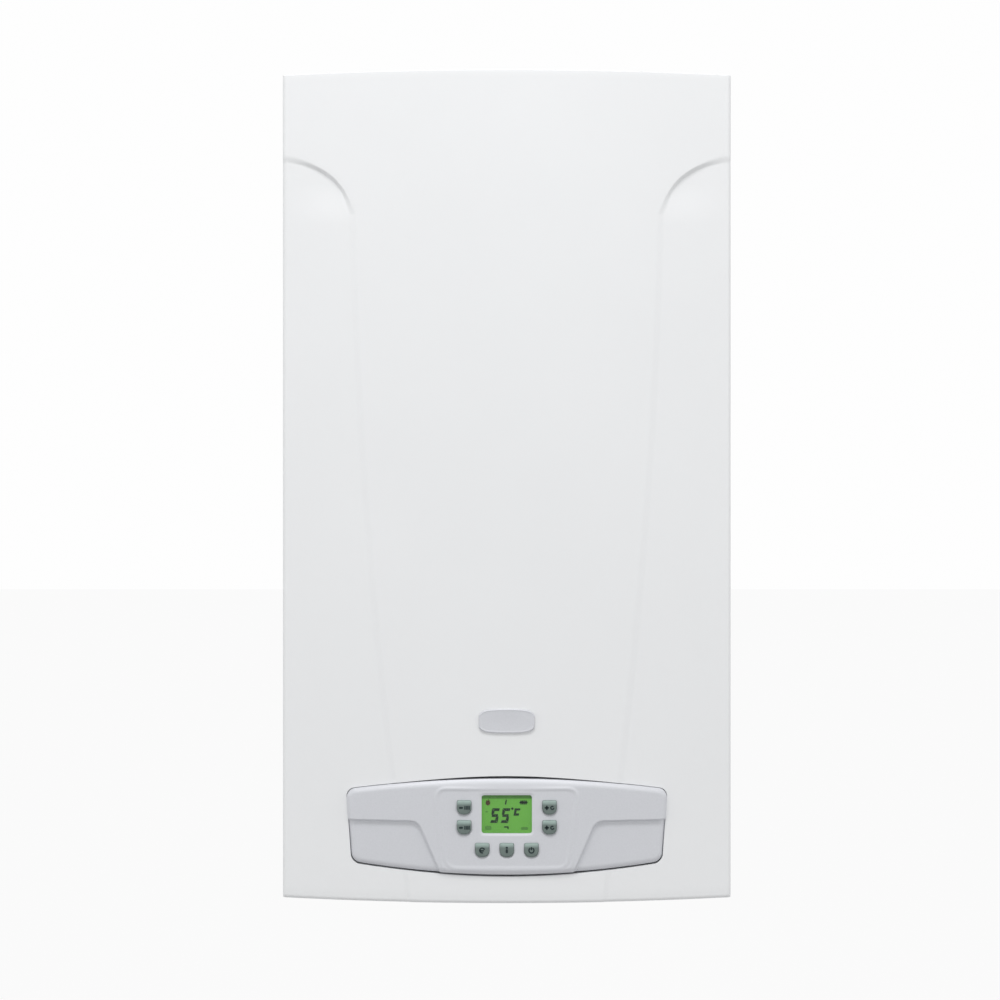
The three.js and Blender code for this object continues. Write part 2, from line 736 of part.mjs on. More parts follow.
// The hole in the front cover that the panel stands in.
function fasciaCutout() {
  const columns = fasciaColumns();
  const edge = (share, side) => {
    const z = fasciaEdges(share, FASCIA_GAP, FASCIA_GAP_BELOW)[side];
    return [z, share * fasciaHalf(z, FASCIA_GAP)];
  };
  const top = columns.map((share) => edge(share, "high"));
  const bottom = columns.map((share) => edge(share, "low")).reverse();
  return pushed("y", outline([...top, ...bottom]), [-COVER_DEPTH - THROUGH, COVER_BACK - END_RADIUS]);
}

// ---------------------------------------------------------------- casing

function frontCover() {
  const shoulderRows = [-0.09, 0.15, 0.34, 0.53, 0.72, 0.9, 1.08];
  const rise = SHOULDER_END - SHOULDER_START;
  const waistRows = [0.25, 0.5, 0.75].map((share) => share * (SHOULDER_START - BOTTOM));
  const levels = [
    [BOTTOM, END_RADIUS],
    [BOTTOM + END_RADIUS, 0],
    ...waistRows.map((up) => [BOTTOM + up, 0]),
    ...shoulderRows.map((share) => [SHOULDER_START + share * rise, 0]),
    [TOP - END_RADIUS, 0],
    [TOP, END_RADIUS],
  ];
  const skin = loft(levels.map(coverRing), "xy");
  const whole = join(skin, coverEnd(TOP, -SHEET), coverEnd(BOTTOM, SHEET));
  add("front_cover", cut(whole, fasciaCutout()), "white");
}

function badge() {
  const [w, h] = [BADGE_WIDTH / 2, BADGE_HEIGHT / 2];
  const [side, corner, crown] = [h * 0.5, h * 0.88, h * 1.12];
  const [round, inset] = [h * 0.8, w * 0.8];
  const shape = new THREE.Shape();
  shape.moveTo(BADGE_Z - side, -w);
  shape.quadraticCurveTo(BADGE_Z - round, -w, BADGE_Z - corner, -inset);
  shape.quadraticCurveTo(BADGE_Z - crown, 0, BADGE_Z - corner, inset);
  shape.quadraticCurveTo(BADGE_Z - round, w, BADGE_Z - side, w);
  shape.lineTo(BADGE_Z + side, w);
  shape.quadraticCurveTo(BADGE_Z + round, w, BADGE_Z + corner, inset);
  shape.quadraticCurveTo(BADGE_Z + crown, 0, BADGE_Z + corner, -inset);
  shape.quadraticCurveTo(BADGE_Z + round, -w, BADGE_Z + side, -w);
  const back = -COVER_DEPTH - GAP;
  add("badge", pushed("y", shape, [back - BADGE_THICKNESS, back]), "silverPlastic");
}

function sidePanels() {
  [["left", -1], ["right", 1]].forEach(([side, sign]) => {
    const points = [
      [HALF, 0],
      [HALF, -SIDE_DEPTH],
      [HALF - SIDE_RETURN, -SIDE_DEPTH],
      [HALF - SIDE_RETURN, SHEET - SIDE_DEPTH],
      [HALF - SHEET, SHEET - SIDE_DEPTH],
      [HALF - SHEET, 0],
    ];
    const section = outline(points.map(([x, y]) => [sign * x, y]));
    add(`side_panel_${side}`, pushed("z", section, [BOTTOM, TOP]), "white");
  });
}

function backFrame() {
  const [h, d, s, r] = [FRAME_HALF, FRAME_DEPTH, FRAME_SHEET, FRAME_RETURN];
  const right = [[h, 0], [h, -d], [h - r, -d], [h - r, s - d], [h - s, s - d], [h - s, -s]];
  const left = right.map(([x, y]) => [-x, y]).reverse();
  const span = [BOTTOM + FRAME_INSET, TOP - FRAME_INSET];
  const channel = pushed("z", outline([...right, ...left]), span);
  const topEdge = block([-h + s / 2, h - s / 2], [-FRAME_RETURN, -s / 2], [span[1] - s, span[1]]);
  const slots = [-HANG_SLOT_X, HANG_SLOT_X].map((x) => {
    const z = TOP - HANG_SLOT_BELOW_TOP;
    const shape = roundedRect(z, x, HANG_SLOT_HEIGHT, HANG_SLOT_WIDTH, HANG_SLOT_HEIGHT / 2 - 0.01);
    return pushed("y", shape, across(-s));
  });
  add("back_frame", cut(join(channel, topEdge), ...slots), "galvanised");
}

function stubHole(x, radius) {
  return bar("z", radius + STUB_HOLE, across(PLATE_Z), [x, PORT_LINE_Y], 12);
}

function connectionPlate() {
  const half = FRAME_HALF - FRAME_RETURN - GAP;
  const back = -FRAME_SHEET - GAP;
  const sheet = block([-half, half], [PLATE_FRONT, back], [PLATE_Z - PLATE_SHEET, PLATE_Z]);
  const lipDepth = [PLATE_FRONT, PLATE_FRONT + PLATE_SHEET];
  const lip = block([-half, half], lipDepth, [PLATE_Z - PLATE_LIP, PLATE_Z]);
  const holes = [
    stubHole(FLOW_X, THREE_QUARTER),
    stubHole(HOT_X, HALF_INCH),
    stubHole(GAS_X, THREE_QUARTER),
    stubHole(COLD_X, HALF_INCH),
    stubHole(RETURN_X, THREE_QUARTER),
    bar("z", GAUGE_RADIUS + GAP, across(PLATE_Z), [GAUGE_X, GAUGE_Y], MEDIUM),
    bar("z", 6, across(PLATE_Z), [TAP_X, TAP_Y], COARSE),
  ];
  add("connection_plate", cut(join(sheet, lip), ...holes), "galvanised");
}

// ---------------------------------------------------------------- sealed chamber

function airBox() {
  const [h, top, bottom] = [CHAMBER_HALF, CHAMBER_TOP, CHAMBER_BOTTOM];
  const shell = block([-h, h], [CHAMBER_FRONT, CHAMBER_BACK], [bottom, top]);
  const depth = [CHAMBER_FRONT + SHEET, CHAMBER_BACK - SHEET];
  const room = block([SHEET - h, h - SHEET], depth, [bottom + SHEET, top - SHEET]);
  const rim = CHAMBER_LIP;
  const mouth = block([rim - h, h - rim], across(CHAMBER_FRONT), [bottom + rim, top - rim]);
  const flue = bar("z", COLLAR_RADIUS - SHEET, across(top), [0, FLUE_Y], FINE);
  const port = bar("z", PORT_RADIUS, across(top), [PORT_X, FLUE_Y], FINE);
  const passes = pipeFeet().map(([x, y, radius]) =>
    bar("z", radius + STUB_HOLE, across(bottom), [x, y], COARSE));
  add("air_box", cut(shell, room, mouth, flue, port, ...passes), "galvanised");
}

// Where pipes pass the chamber's floor: x, y and radius.
function pipeFeet() {
  return [
    [-RISER_X, FLOW_RISER_Y, PIPE],
    [RISER_X, PORT_LINE_Y, PIPE],
    [GAS_X, MANIFOLD_Y, GAS_PIPE],
  ];
}

function airBoxLid() {
  const [h, top, bottom] = [CHAMBER_HALF, CHAMBER_TOP, CHAMBER_BOTTOM];
  const seat = CHAMBER_FRONT - GAP;
  const middle = (top + bottom) / 2;
  const plate = block([-h, h], [seat - SHEET, seat], [bottom, top]);
  const raised = (border, span) => {
    const size = [top - bottom - 2 * border, 2 * (h - border)];
    return pushed("y", roundedRect(middle, 0, ...size, LID_CORNER), span, 2);
  };
  const outside = raised(LID_BORDER, [seat - SHEET - LID_EMBOSS, seat - SHEET / 2]);
  const inside = raised(LID_BORDER + SHEET, [seat - LID_EMBOSS, seat + THROUGH]);
  const hole = bar("y", SIGHT_RADIUS - 2, across(seat), [0, SIGHT_Z]);
  add("air_box_lid", cut(join(plate, outside), inside, hole), "galvanised");
  const face = seat - SHEET - LID_EMBOSS - GAP;
  const r = SIGHT_RADIUS;
  const profile = [
    [0, face - 2],
    [r - 3, face - 2],
    [r - 2, face - 3.5],
    [r + 2, face - 3.5],
    [r + 4, face - 1],
    [r + 4, face],
    [0, face],
  ];
  add("sight_glass", turned("y", profile, [0, SIGHT_Z]), "glass");
}

function flueCollar() {
  const [r, w, base] = [COLLAR_RADIUS, COLLAR_WALL, CHAMBER_TOP + GAP];
  const flange = r + COLLAR_FLANGE;
  const profile = [
    [r, base],
    [flange, base],
    [flange, base + 1.5],
    [r + w, base + 1.5],
    [r + w, FLUE_TOP],
    [r, FLUE_TOP],
    [r, base],
  ];
  add("flue_collar", turned("z", profile, [0, FLUE_Y], FINE), "aluminium");
}

function airPortCover() {
  const base = CHAMBER_TOP + GAP;
  const r = PORT_RADIUS + 8;
  const profile = [
    [0, base],
    [r, base],
    [r, base + 1],
    [PORT_RADIUS, base + 1.5],
    [PORT_RADIUS - 4, base + 4],
    [0, base + 4],
  ];
  add("air_port_cover", turned("z", profile, [PORT_X, FLUE_Y], FINE), "blackPlastic");
}

// ---------------------------------------------------------------- fan and flue hood

// The scroll's outline in (z, x), grown outwards, with its outlet duct running up to a height.
function scrollShape(grow, ductTop) {
  const start = Math.acos((SCROLL_END - 2 * FLUE_RADIUS) / SCROLL_START);
  const points = [];
  for (let i = 0; i <= SCROLL_STEPS; i += 1) {
    const share = i / SCROLL_STEPS;
    const angle = start + share * (2 * Math.PI - start);
    const radius = SCROLL_START + (SCROLL_END - SCROLL_START) * share + grow;
    points.push([FAN_Z + radius * Math.sin(angle), FAN_X + radius * Math.cos(angle)]);
  }
  const outer = FAN_X + SCROLL_END + grow;
  points.push([ductTop, outer], [ductTop, outer - 2 * (FLUE_RADIUS + grow)]);
  return outline(points);
}

function fanHousing() {
  const ductTop = CHAMBER_TOP - FAN_HEADROOM;
  const shell = pushed("y", scrollShape(0, ductTop), [FAN_FRONT, FAN_BACK]);
  const depth = [FAN_FRONT + FAN_WALL, FAN_BACK - FAN_WALL];
  const room = pushed("y", scrollShape(-FAN_WALL, ductTop - FAN_WALL), depth);
  const spigot = bar("z", FLUE_RADIUS, [ductTop - 4, FLUE_TOP], [0, FLUE_Y], FINE);
  const boreSpan = [ductTop - THROUGH, FLUE_TOP + THROUGH];
  const bore = bar("z", FLUE_RADIUS - FLUE_WALL, boreSpan, [0, FLUE_Y], FINE);
  const inlet = bar("y", FAN_INLET, across(FAN_BACK), [FAN_X, FAN_Z], FINE);
  const shaftHole = bar("y", FAN_SHAFT * 2, across(FAN_FRONT), [FAN_X, FAN_Z]);
  add("fan_housing", cut(join(shell, spigot), room, bore, inlet, shaftHole), "aluminised");
}

function fanMotor() {
  const front = FAN_FRONT - GAP;
  const motorEnd = front - FAN_MOTOR_LENGTH;
  const r = FAN_MOTOR_RADIUS;
  const nose = r * 0.62;
  const foot = r + 5;
  const motor = [
    [0, motorEnd],
    [r * 0.5, motorEnd],
    [nose, motorEnd + 4],
    [nose, motorEnd + 10],
    [r, motorEnd + 12],
    [r, front - 6],
    [foot, front - 4],
    [foot, front],
    [0, front],
  ];
  const shaft = bar("y", FAN_SHAFT, [front - 5, front + 18], [FAN_X, FAN_Z], COARSE);
  add("fan_motor", join(turned("y", motor, [FAN_X, FAN_Z]), shaft), "castIron");
}

// A forward-curved blade's section in (z, x), from its root circle to the wheel's rim.
function bladeSection() {
  const face = (side) =>
    Array.from({ length: BLADE_STEPS + 1 }, (_, i) => {
      const share = i / BLADE_STEPS;
      const radius = BLADE_ROOT + (IMPELLER_RADIUS - BLADE_THICKNESS - BLADE_ROOT) * share;
      const turn = BLADE_SWEEP * share * share;
      const offset = (side * BLADE_THICKNESS) / 2;
      return [
        radius * Math.sin(turn) + offset * Math.cos(turn),
        radius * Math.cos(turn) - offset * Math.sin(turn),
      ];
    });
  return outline([...face(-1), ...face(1).reverse()]);
}

function fanImpeller() {
  const at = [FAN_X, FAN_Z];
  const front = FAN_FRONT + FAN_WALL + IMPELLER_CLEARANCE;
  const back = front + IMPELLER_DEPTH;
  const plate = FAN_WALL;
  const disc = turned("y", [
    [0, front],
    [IMPELLER_RADIUS, front],
    [IMPELLER_RADIUS, front + plate],
    [HUB_RADIUS + 2, front + plate],
    [HUB_RADIUS, front + HUB_LENGTH],
    [0, front + HUB_LENGTH],
  ], at, FINE);
  const rim = ring("y", BLADE_ROOT, IMPELLER_RADIUS, [back - plate, back], at);
  const blades = Array.from({ length: IMPELLER_BLADES }, (_, i) => {
    const blade = pushed("y", bladeSection(), [front + plate / 2, back - plate / 2]);
    return blade.rotateY((i * 2 * Math.PI) / IMPELLER_BLADES).translate(FAN_X, 0, FAN_Z);
  });
  const bore = bar("y", FAN_SHAFT + GAP, [front - THROUGH, front + HUB_LENGTH - 2], at, COARSE);
  add("fan_impeller", cut(join(disc, rim, ...blades), bore), "aluminium");
}

function flueHood() {
  const base = EXCHANGER_TOP + GAP;
  const throat = base + HOOD_HEIGHT;
  const front = FAN_BACK + GAP;
  const rear = HEARTH_BACK - 2;
  const ductTop = FAN_Z + FAN_INLET + 8;
  const made = (inset, drop) => {
    const [h, f, r] = [HEARTH_HALF - 6 - inset, HEARTH_FRONT + 4 + inset, rear - inset];
    const [left, right] = [FAN_X - HOOD_DUCT_HALF + inset, FAN_X + HOOD_DUCT_HALF - inset];
    const rect = (x0, x1, y0, z) => [[x0, y0, z], [x1, y0, z], [x1, r, z], [x0, r, z]];
    const mouth = rect(-h, h, f, base - drop);
    const skirt = loft([mouth, rect(left, right, front + inset, throat)], "xy");
    const duct = block([left, right], [front + inset, r], [throat - 2, ductTop - inset]);
    return join(skirt, duct);
  };
  const inlet = bar("y", FAN_INLET, across(front), [FAN_X, FAN_Z], FINE);
  add("flue_hood", cut(made(0, 0), made(SHEET, 0.5), inlet), "aluminised");
}

function pressureSwitch() {
  const back = HEARTH_BACK;
  const [foot, drum, cap, cover] = [12, 30, 24, 9];
  const profile = [
    [0, back - 34],
    [cover, back - 34],
    [cover, back - 28],
    [cap, back - 26],
    [cap, back - 20],
    [drum, back - 16],
    [drum, back - 8],
    [foot, back - 6],
    [foot, back],
    [0, back],
  ];
  const [x, z] = [SWITCH_X, FAN_Z - 4];
  const nozzles = [-6, 6].map((up) =>
    bar("x", 2.5, [x + drum - 5, x + drum + 5], [back - 12, z + up], COARSE));
  add("pressure_switch", join(turned("y", profile, [x, z]), ...nozzles), "blackPlastic");
}

// ---------------------------------------------------------------- burner, hearth and exchanger

// The middle of each burner blade, from left to right.
function burnerRow() {
  const middle = (BURNER_BLADES - 1) / 2;
  return Array.from({ length: BURNER_BLADES }, (_, i) => (i - middle) * BURNER_PITCH);
}

function burner() {
  const z = [BURNER_BOTTOM, BURNER_TOP];
  const shell = block([-HEARTH_HALF, HEARTH_HALF], [HEARTH_FRONT, HEARTH_BACK], z);
  const room = block(
    [SHEET - HEARTH_HALF, HEARTH_HALF - SHEET],
    [HEARTH_FRONT + SHEET, HEARTH_BACK - SHEET],
    [BURNER_BOTTOM - THROUGH, BURNER_TOP + THROUGH],
  );
  const wide = BLADE_WIDTH / 2;
  const narrow = BLADE_WIDTH / 4;
  const [foot, head] = [BURNER_BOTTOM + 6, BURNER_TOP - 6];
  const right = [[foot, wide], [foot + BLADE_FOOT, narrow], [head - BLADE_HEAD, narrow], [head, wide]];
  const left = right.map(([z, x]) => [z, -x]).reverse();
  const blades = burnerRow().map((middle) => {
    const shape = outline([...right, ...left].map(([z, x]) => [z, x + middle]));
    return pushed("y", shape, [HEARTH_FRONT + SHEET / 2, HEARTH_BACK - SHEET / 2]);
  });
  const openings = burnerRow().map((x) =>
    bar("y", JET_RADIUS + GAP, [HEARTH_FRONT - 5, HEARTH_FRONT + 12], [x, JET_Z], 6));
  add("burner", cut(join(cut(shell, room), ...blades), ...openings), "stainless");
}

function burnerManifold() {
  const span = (BURNER_BLADES * BURNER_PITCH) / 2;
  const size = MANIFOLD_SIZE;
  const rail = pushed("x", roundedRect(MANIFOLD_Y, MANIFOLD_Z, size, size, 3), [-span, span], 2);
  const reach = [MANIFOLD_Y + size / 2 - 2, HEARTH_FRONT + 3];
  const jets = burnerRow().map((x) => bar("y", JET_RADIUS, reach, [x, JET_Z], 6));
  add("burner_manifold", join(rail, ...jets), "aluminium");
}

function hearth() {
  const [low, high] = [BURNER_TOP + GAP, HEARTH_TOP];
  const shell = block([-HEARTH_HALF, HEARTH_HALF], [HEARTH_FRONT, HEARTH_BACK], [low, high]);
  const room = block(
    [SHEET - HEARTH_HALF, HEARTH_HALF - SHEET],
    [HEARTH_FRONT + SHEET, HEARTH_BACK - SHEET],
    [low - THROUGH, high + THROUGH],
  );
  const through = [HEARTH_FRONT - THROUGH, HEARTH_FRONT + INSULATION + THROUGH];
  const sight = bar("y", 9, through, [0, SIGHT_Z]);
  const plugs = [-ELECTRODE_X, ELECTRODE_X].map((x) =>
    bar("y", ELECTRODE_RADIUS + 0.4, through, [x, ELECTRODE_Z], COARSE));
  add("combustion_chamber", cut(shell, room, sight, ...plugs), "aluminised");

  const skin = SHEET + GAP;
  const board = [low + 1, high - 1];
  const [front, back] = [HEARTH_FRONT + skin, HEARTH_BACK - skin];
  const side = HEARTH_HALF - skin;
  const frontBoard = block([-side, side], [front, front + INSULATION], board);
  add("insulation_front", cut(frontBoard, sight, ...plugs), "fibre");
  add("insulation_back", block([-side, side], [back - INSULATION, back], board), "fibre");
  const between = [front + INSULATION + GAP, back - INSULATION - GAP];
  add("insulation_left", block([-side, INSULATION - side], between, board), "fibre");
  add("insulation_right", block([side - INSULATION, side], between, board), "fibre");
}

// A ceramic body with a flange outside the hearth, and a pin through it.
function electrode(name, x) {
  const y = HEARTH_FRONT;
  const [body, flange, pin] = [ELECTRODE_RADIUS, 7, 1.2];
  const profile = [
    [0, y - 22],
    [pin, y - 22],
    [pin, y - 14],
    [body, y - 12],
    [body, y - 5],
    [flange, y - 4],
    [flange, y - GAP],
    [body, y - GAP],
    [body, y + 14],
    [pin, y + 15],
    [pin, y + 40],
    [0, y + 40],
  ];
  add(name, turned("y", profile, [x, ELECTRODE_Z], HEX), "ceramic");
}

// A finned copper block with return bends on both sides, and a port each for return and flow.
function heatExchanger() {
  const [front, back] = [HEARTH_FRONT + EXCHANGER_INSET, HEARTH_BACK - EXCHANGER_INSET];
  const half = HEARTH_HALF - INSULATION;
  const middle = EXCHANGER_MIDDLE;
  const coreHalf = EXCHANGER_TUBE + 1;
  const pitch = (2 * half - FIN_THICKNESS) / (FIN_COUNT - 1);
  const comb = [];
  for (let i = 0; i < FIN_COUNT; i += 1) {
    const x = -half + i * pitch;
    comb.push([middle + coreHalf, x], [EXCHANGER_TOP, x]);
    comb.push([EXCHANGER_TOP, x + FIN_THICKNESS], [middle + coreHalf, x + FIN_THICKNESS]);
  }
  for (let i = FIN_COUNT - 1; i >= 0; i -= 1) {
    const x = -half + i * pitch;
    comb.push([middle - coreHalf, x + FIN_THICKNESS], [EXCHANGER_BOTTOM, x + FIN_THICKNESS]);
    comb.push([EXCHANGER_BOTTOM, x], [middle - coreHalf, x]);
  }
  const fins = pushed("y", outline(comb.slice(1, -1)), [front, back]);
  const passPitch = (LAST_PASS_Y - FIRST_PASS_Y) / (EXCHANGER_PASSES - 1);
  const passY = (i) => FIRST_PASS_Y + i * passPitch;
  const bends = [];
  for (let i = 0; i < EXCHANGER_PASSES - 1; i += 1) {
    const right = i % 2 === 0;
    const section = closedBend(passPitch / 2, EXCHANGER_TUBE);
    section.rotateZ(right ? -Math.PI / 2 : Math.PI / 2);
    bends.push(section.translate(right ? half - 1 : 1 - half, passY(i) + passPitch / 2, middle));
  }
  const flowPort = bar("x", EXCHANGER_TUBE, [-PORT_END, 2 - half], [FIRST_PASS_Y, middle]);
  const returnPort = bar("x", EXCHANGER_TUBE, [half - 2, PORT_END], [LAST_PASS_Y, middle]);
  add("heat_exchanger", join(fins, ...bends, flowPort, returnPort), "copper");
}

// Half a ring of tube in the XY plane, with flat ends on the X axis, bulging to +Y.
function closedBend(radius, tube) {
  const rings = Array.from({ length: BEND_STEPS + 1 }, (_, i) => {
    const a = (Math.PI * i) / BEND_STEPS;
    return Array.from({ length: COARSE }, (_, k) => {
      const b = (2 * Math.PI * k) / COARSE;
      const r = radius + tube * Math.cos(b);
      return [r * Math.cos(a), r * Math.sin(a), tube * Math.sin(b)];
    });
  });
  return loft(rings, "xz");
}

// ---------------------------------------------------------------- gas

function gasSide() {
  const y = PORT_LINE_Y;
  const front = y - VALVE_DEPTH / 2;
  const shape = roundedRect(GAS_X, y, VALVE_WIDTH, VALVE_DEPTH, 6);
  const body = pushed("z", shape, [VALVE_BOTTOM + 8, VALVE_TOP - 8], 2);
  const ends = [[VALVE_BOTTOM, VALVE_BOTTOM + 10], [VALVE_TOP - 10, VALVE_TOP]].map((span) =>
    bar("z", 17, span, [GAS_X, y], HEX));
  const coils = [VALVE_TOP - 18, VALVE_TOP - 44].map((z) =>
    bar("y", 11, [front - 28, front + 2], [GAS_X + 12, z]));
  const regulator = bar("y", 14, [front - 16, front + 2], [GAS_X - 15, VALVE_BOTTOM + 28]);
  const plugHeight = [VALVE_TOP - 36, VALVE_TOP - 12];
  const plug = block([GAS_X - 28, GAS_X - 6], [front - 20, front + 2], plugHeight);
  add("gas_valve", join(body, ...ends, ...coils, regulator, plug), "aluminium");

  const inlet = bar("z", GAS_PIPE, [PLATE_Z + 12, VALVE_BOTTOM - GAP], [GAS_X, y], COARSE);
  const nut = bar("z", THREE_QUARTER + 4, [PLATE_Z + 4, PLATE_Z + 16], [GAS_X, y], HEX);
  const stub = bar("z", THREE_QUARTER, [STUB_END, PLATE_Z + 8], [GAS_X, y]);
  add("gas_inlet_pipe", join(inlet, nut, stub), "brass");
  const crossing = VALVE_TOP + 50; // height at which the pipe runs forward
  const feed = [
    [GAS_X, y, VALVE_TOP + GAP],
    [GAS_X, y, crossing],
    [GAS_X, MANIFOLD_Y, crossing],
    [GAS_X, MANIFOLD_Y, MANIFOLD_Z - MANIFOLD_SIZE / 2 - GAP],
  ];
  add("gas_feed_pipe", pipe(feed, GAS_PIPE), "aluminium");
}

// ---------------------------------------------------------------- water

function vessel() {
  const bevel = VESSEL_EDGE;
  const size = [VESSEL_HEIGHT - 2 * bevel, VESSEL_WIDTH - 2 * bevel];
  const shape = roundedRect(VESSEL_Z, 0, ...size, VESSEL_CORNER - bevel);
  const back = -FRAME_SHEET - GAP;
  const pillow = new THREE.ExtrudeGeometry(shape, {
    depth: VESSEL_DEPTH - 2 * bevel,
    bevelThickness: bevel,
    bevelSize: bevel,
    bevelSegments: 2,
    curveSegments: 2,
  });
  const basis = EXTRUDE_BASES.y.map((column) => new THREE.Vector3(...column));
  pillow.applyMatrix4(new THREE.Matrix4().makeBasis(...basis));
  pillow.translate(0, back - VESSEL_DEPTH + bevel, 0);
  const y = back - VESSEL_DEPTH / 2;
  const seamSize = [VESSEL_HEIGHT + 2 * VESSEL_SEAM, VESSEL_WIDTH + 2 * VESSEL_SEAM];
  const seamShape = roundedRect(VESSEL_Z, 0, ...seamSize, VESSEL_CORNER + VESSEL_SEAM);
  const seam = pushed("y", seamShape, [y - 2, y + 2], 2);
  const bottom = VESSEL_Z - VESSEL_HEIGHT / 2;
  const nipple = bar("z", 9, [bottom - 14, bottom + 4], [VESSEL_PIPE_X, y], HEX);
  add("expansion_vessel", join(pillow, seam, nipple), "vesselRed");
  const route = [
    [VESSEL_PIPE_X, y, bottom - 14 - GAP],
    [VESSEL_PIPE_X, y, VALVE_BOTTOM + 25],
    [VESSEL_PIPE_X, VESSEL_NECK_Y, VALVE_BOTTOM + 5],
    [VESSEL_PIPE_X, VESSEL_NECK_Y, GROUP_TOP + GAP],
  ];
  add("vessel_pipe", pipe(route, THIN_PIPE, 12), "stainless");
}

function stub(x, radius) {
  const y = PORT_LINE_Y;
  const thread = bar("z", radius, [STUB_END, GROUP_BOTTOM + 6], [x, y]);
  const nut = bar("z", radius + 4, [PLATE_Z + GAP, GROUP_BOTTOM + 6], [x, y], HEX);
  return join(thread, nut);
}

function groupBlock(x0, x1) {
  const middle = [(x0 + x1) / 2, (GROUP_BACK + GROUP_FRONT) / 2];
  const shape = roundedRect(...middle, x1 - x0, GROUP_BACK - GROUP_FRONT, 8);
  return pushed("z", shape, [GROUP_BOTTOM, GROUP_TOP - 8], 2);
}

function groups() {
  const y = PORT_LINE_Y;
  const neck = [GROUP_TOP - 12, GROUP_TOP];
  const flowTop = bar("z", PIPE + 5, neck, [FLOW_X, y], HEX);
  const valveNeck = bar("z", 14, neck, [HOT_X, y]);
  const safetyBoss = bar("y", 12, [GROUP_FRONT - 6, GROUP_FRONT + 4], [FLOW_X, SAFETY_Z]);
  const flowBlock = groupBlock(FLOW_X - GROUP_END, HOT_X + GROUP_END);
  const flowStubs = [stub(FLOW_X, THREE_QUARTER), stub(HOT_X, HALF_INCH)];
  add("flow_group", join(flowBlock, ...flowStubs, flowTop, valveNeck, safetyBoss), "brass");
  const pumpNeck = bar("z", PIPE + 6, neck, [PUMP_X, y], HEX);
  const vesselNeck = bar("z", 8, neck, [VESSEL_PIPE_X, VESSEL_NECK_Y], HEX);
  const tapLow = GROUP_BOTTOM + 3;
  const tap = block([TAP_X - 9, TAP_X + 9], [TAP_Y - 9, GROUP_FRONT + 5], [tapLow, tapLow + 24]);
  const spindle = bar("z", 4, [PLATE_Z - PLATE_SHEET - 1, tapLow + 4], [TAP_X, TAP_Y], COARSE);
  const returnBlock = groupBlock(COLD_X - GROUP_END, RETURN_X + GROUP_END);
  const returnStubs = [stub(COLD_X, HALF_INCH), stub(RETURN_X, THREE_QUARTER)];
  const fittings = [pumpNeck, vesselNeck, tap, spindle];
  add("return_group", join(returnBlock, ...returnStubs, ...fittings), "brass");
}

function safetyValve() {
  const at = [FLOW_X, SAFETY_Z];
  const seat = GROUP_FRONT - 6 - GAP;
  const front = seat - 22;
  const profile = [[0, front], [8, front], [8, front + 4], [12, front + 6], [12, seat], [0, seat]];
  const drain = bar("z", 6, [SAFETY_Z - 24, SAFETY_Z], [FLOW_X, seat - 9], COARSE);
  add("safety_valve", join(turned("y", profile, at), drain), "brass");
  const knob = lobedKnob("y", [front - GAP - KNOB_LENGTH, front - GAP], at, 13, 6);
  add("safety_valve_knob", knob, "red");
}

// A hand knob with lobes round its rim.
function lobedKnob(axis, [low, high], [u, v], radius, lobes) {
  const core = bar(axis, radius - LOBE_RISE, [low, high], [u, v]);
  const reach = radius - LOBE_RADIUS;
  const ribs = Array.from({ length: lobes }, (_, i) => {
    const a = (2 * Math.PI * i) / lobes;
    const middle = [u + reach * Math.cos(a), v + reach * Math.sin(a)];
    return bar(axis, LOBE_RADIUS, [low + 1, high - 1], middle, HEX);
  });
  return join(core, ...ribs);
}

function fillTapKnob() {
  const high = PLATE_Z - PLATE_SHEET - 1 - GAP;
  const knob = lobedKnob("z", [high - KNOB_LENGTH, high], [TAP_X, TAP_Y], 12, 5);
  add("fill_tap_knob", knob, "blackPlastic");
}

function pumpHousing() {
  const at = [PUMP_X, PUMP_Z];
  const r = PUMP_RADIUS;
  const outside = [
    [0, PUMP_FRONT],
    [r, PUMP_FRONT],
    [r, PUMP_BACK - 8],
    [r - 8, PUMP_BACK],
    [0, PUMP_BACK],
  ];
  const volute = turned("y", outside, at, FINE);
  const roomSpan = [PUMP_FRONT - THROUGH, PUMP_BACK - PUMP_WALL - 8];
  const room = bar("y", PUMP_WHEEL_RADIUS + 3, roomSpan, at);
  const down = bar("z", 14, [GROUP_TOP + GAP, PUMP_Z - r + 6], [PUMP_X, PORT_LINE_Y]);
  const up = bar("z", 14, [PUMP_Z + r - 6, PUMP_TOP], [PUMP_X, PORT_LINE_Y]);
  const ventArm = block(
    [VENT_X - 11, PUMP_X - r + 12],
    [PORT_LINE_Y - 10, PORT_LINE_Y + 10],
    [VENT_BASE - 20, VENT_BASE],
  );
  add("pump_housing", join(cut(join(volute, down, up), room), ventArm), "castIron");
}

function pumpMotor() {
  const at = [PUMP_X, PUMP_Z];
  const front = PUMP_FRONT - GAP;
  const end = BOX_BACK + PUMP_TO_BOX;
  const m = PUMP_MOTOR_RADIUS;
  const label = m * 0.4;
  const profile = [
    [0, end],
    [label, end],
    [label, end + 3],
    [m - 6, end + 3],
    [m, end + 10],
    [m, front - 12],
    [m + 2, front - 10],
    [m + 2, front],
    [0, front],
  ];
  const boxHeight = [PUMP_Z + m - 8, PUMP_Z + m + 16];
  const box = block([PUMP_X - 24, PUMP_X + 24], [end + 14, front - 16], boxHeight);
  const shaft = bar("y", PUMP_SHAFT, [front - 4, front + 14], at, COARSE);
  add("pump_motor", join(turned("y", profile, at, FINE), box, shaft), "blackPlastic");
}

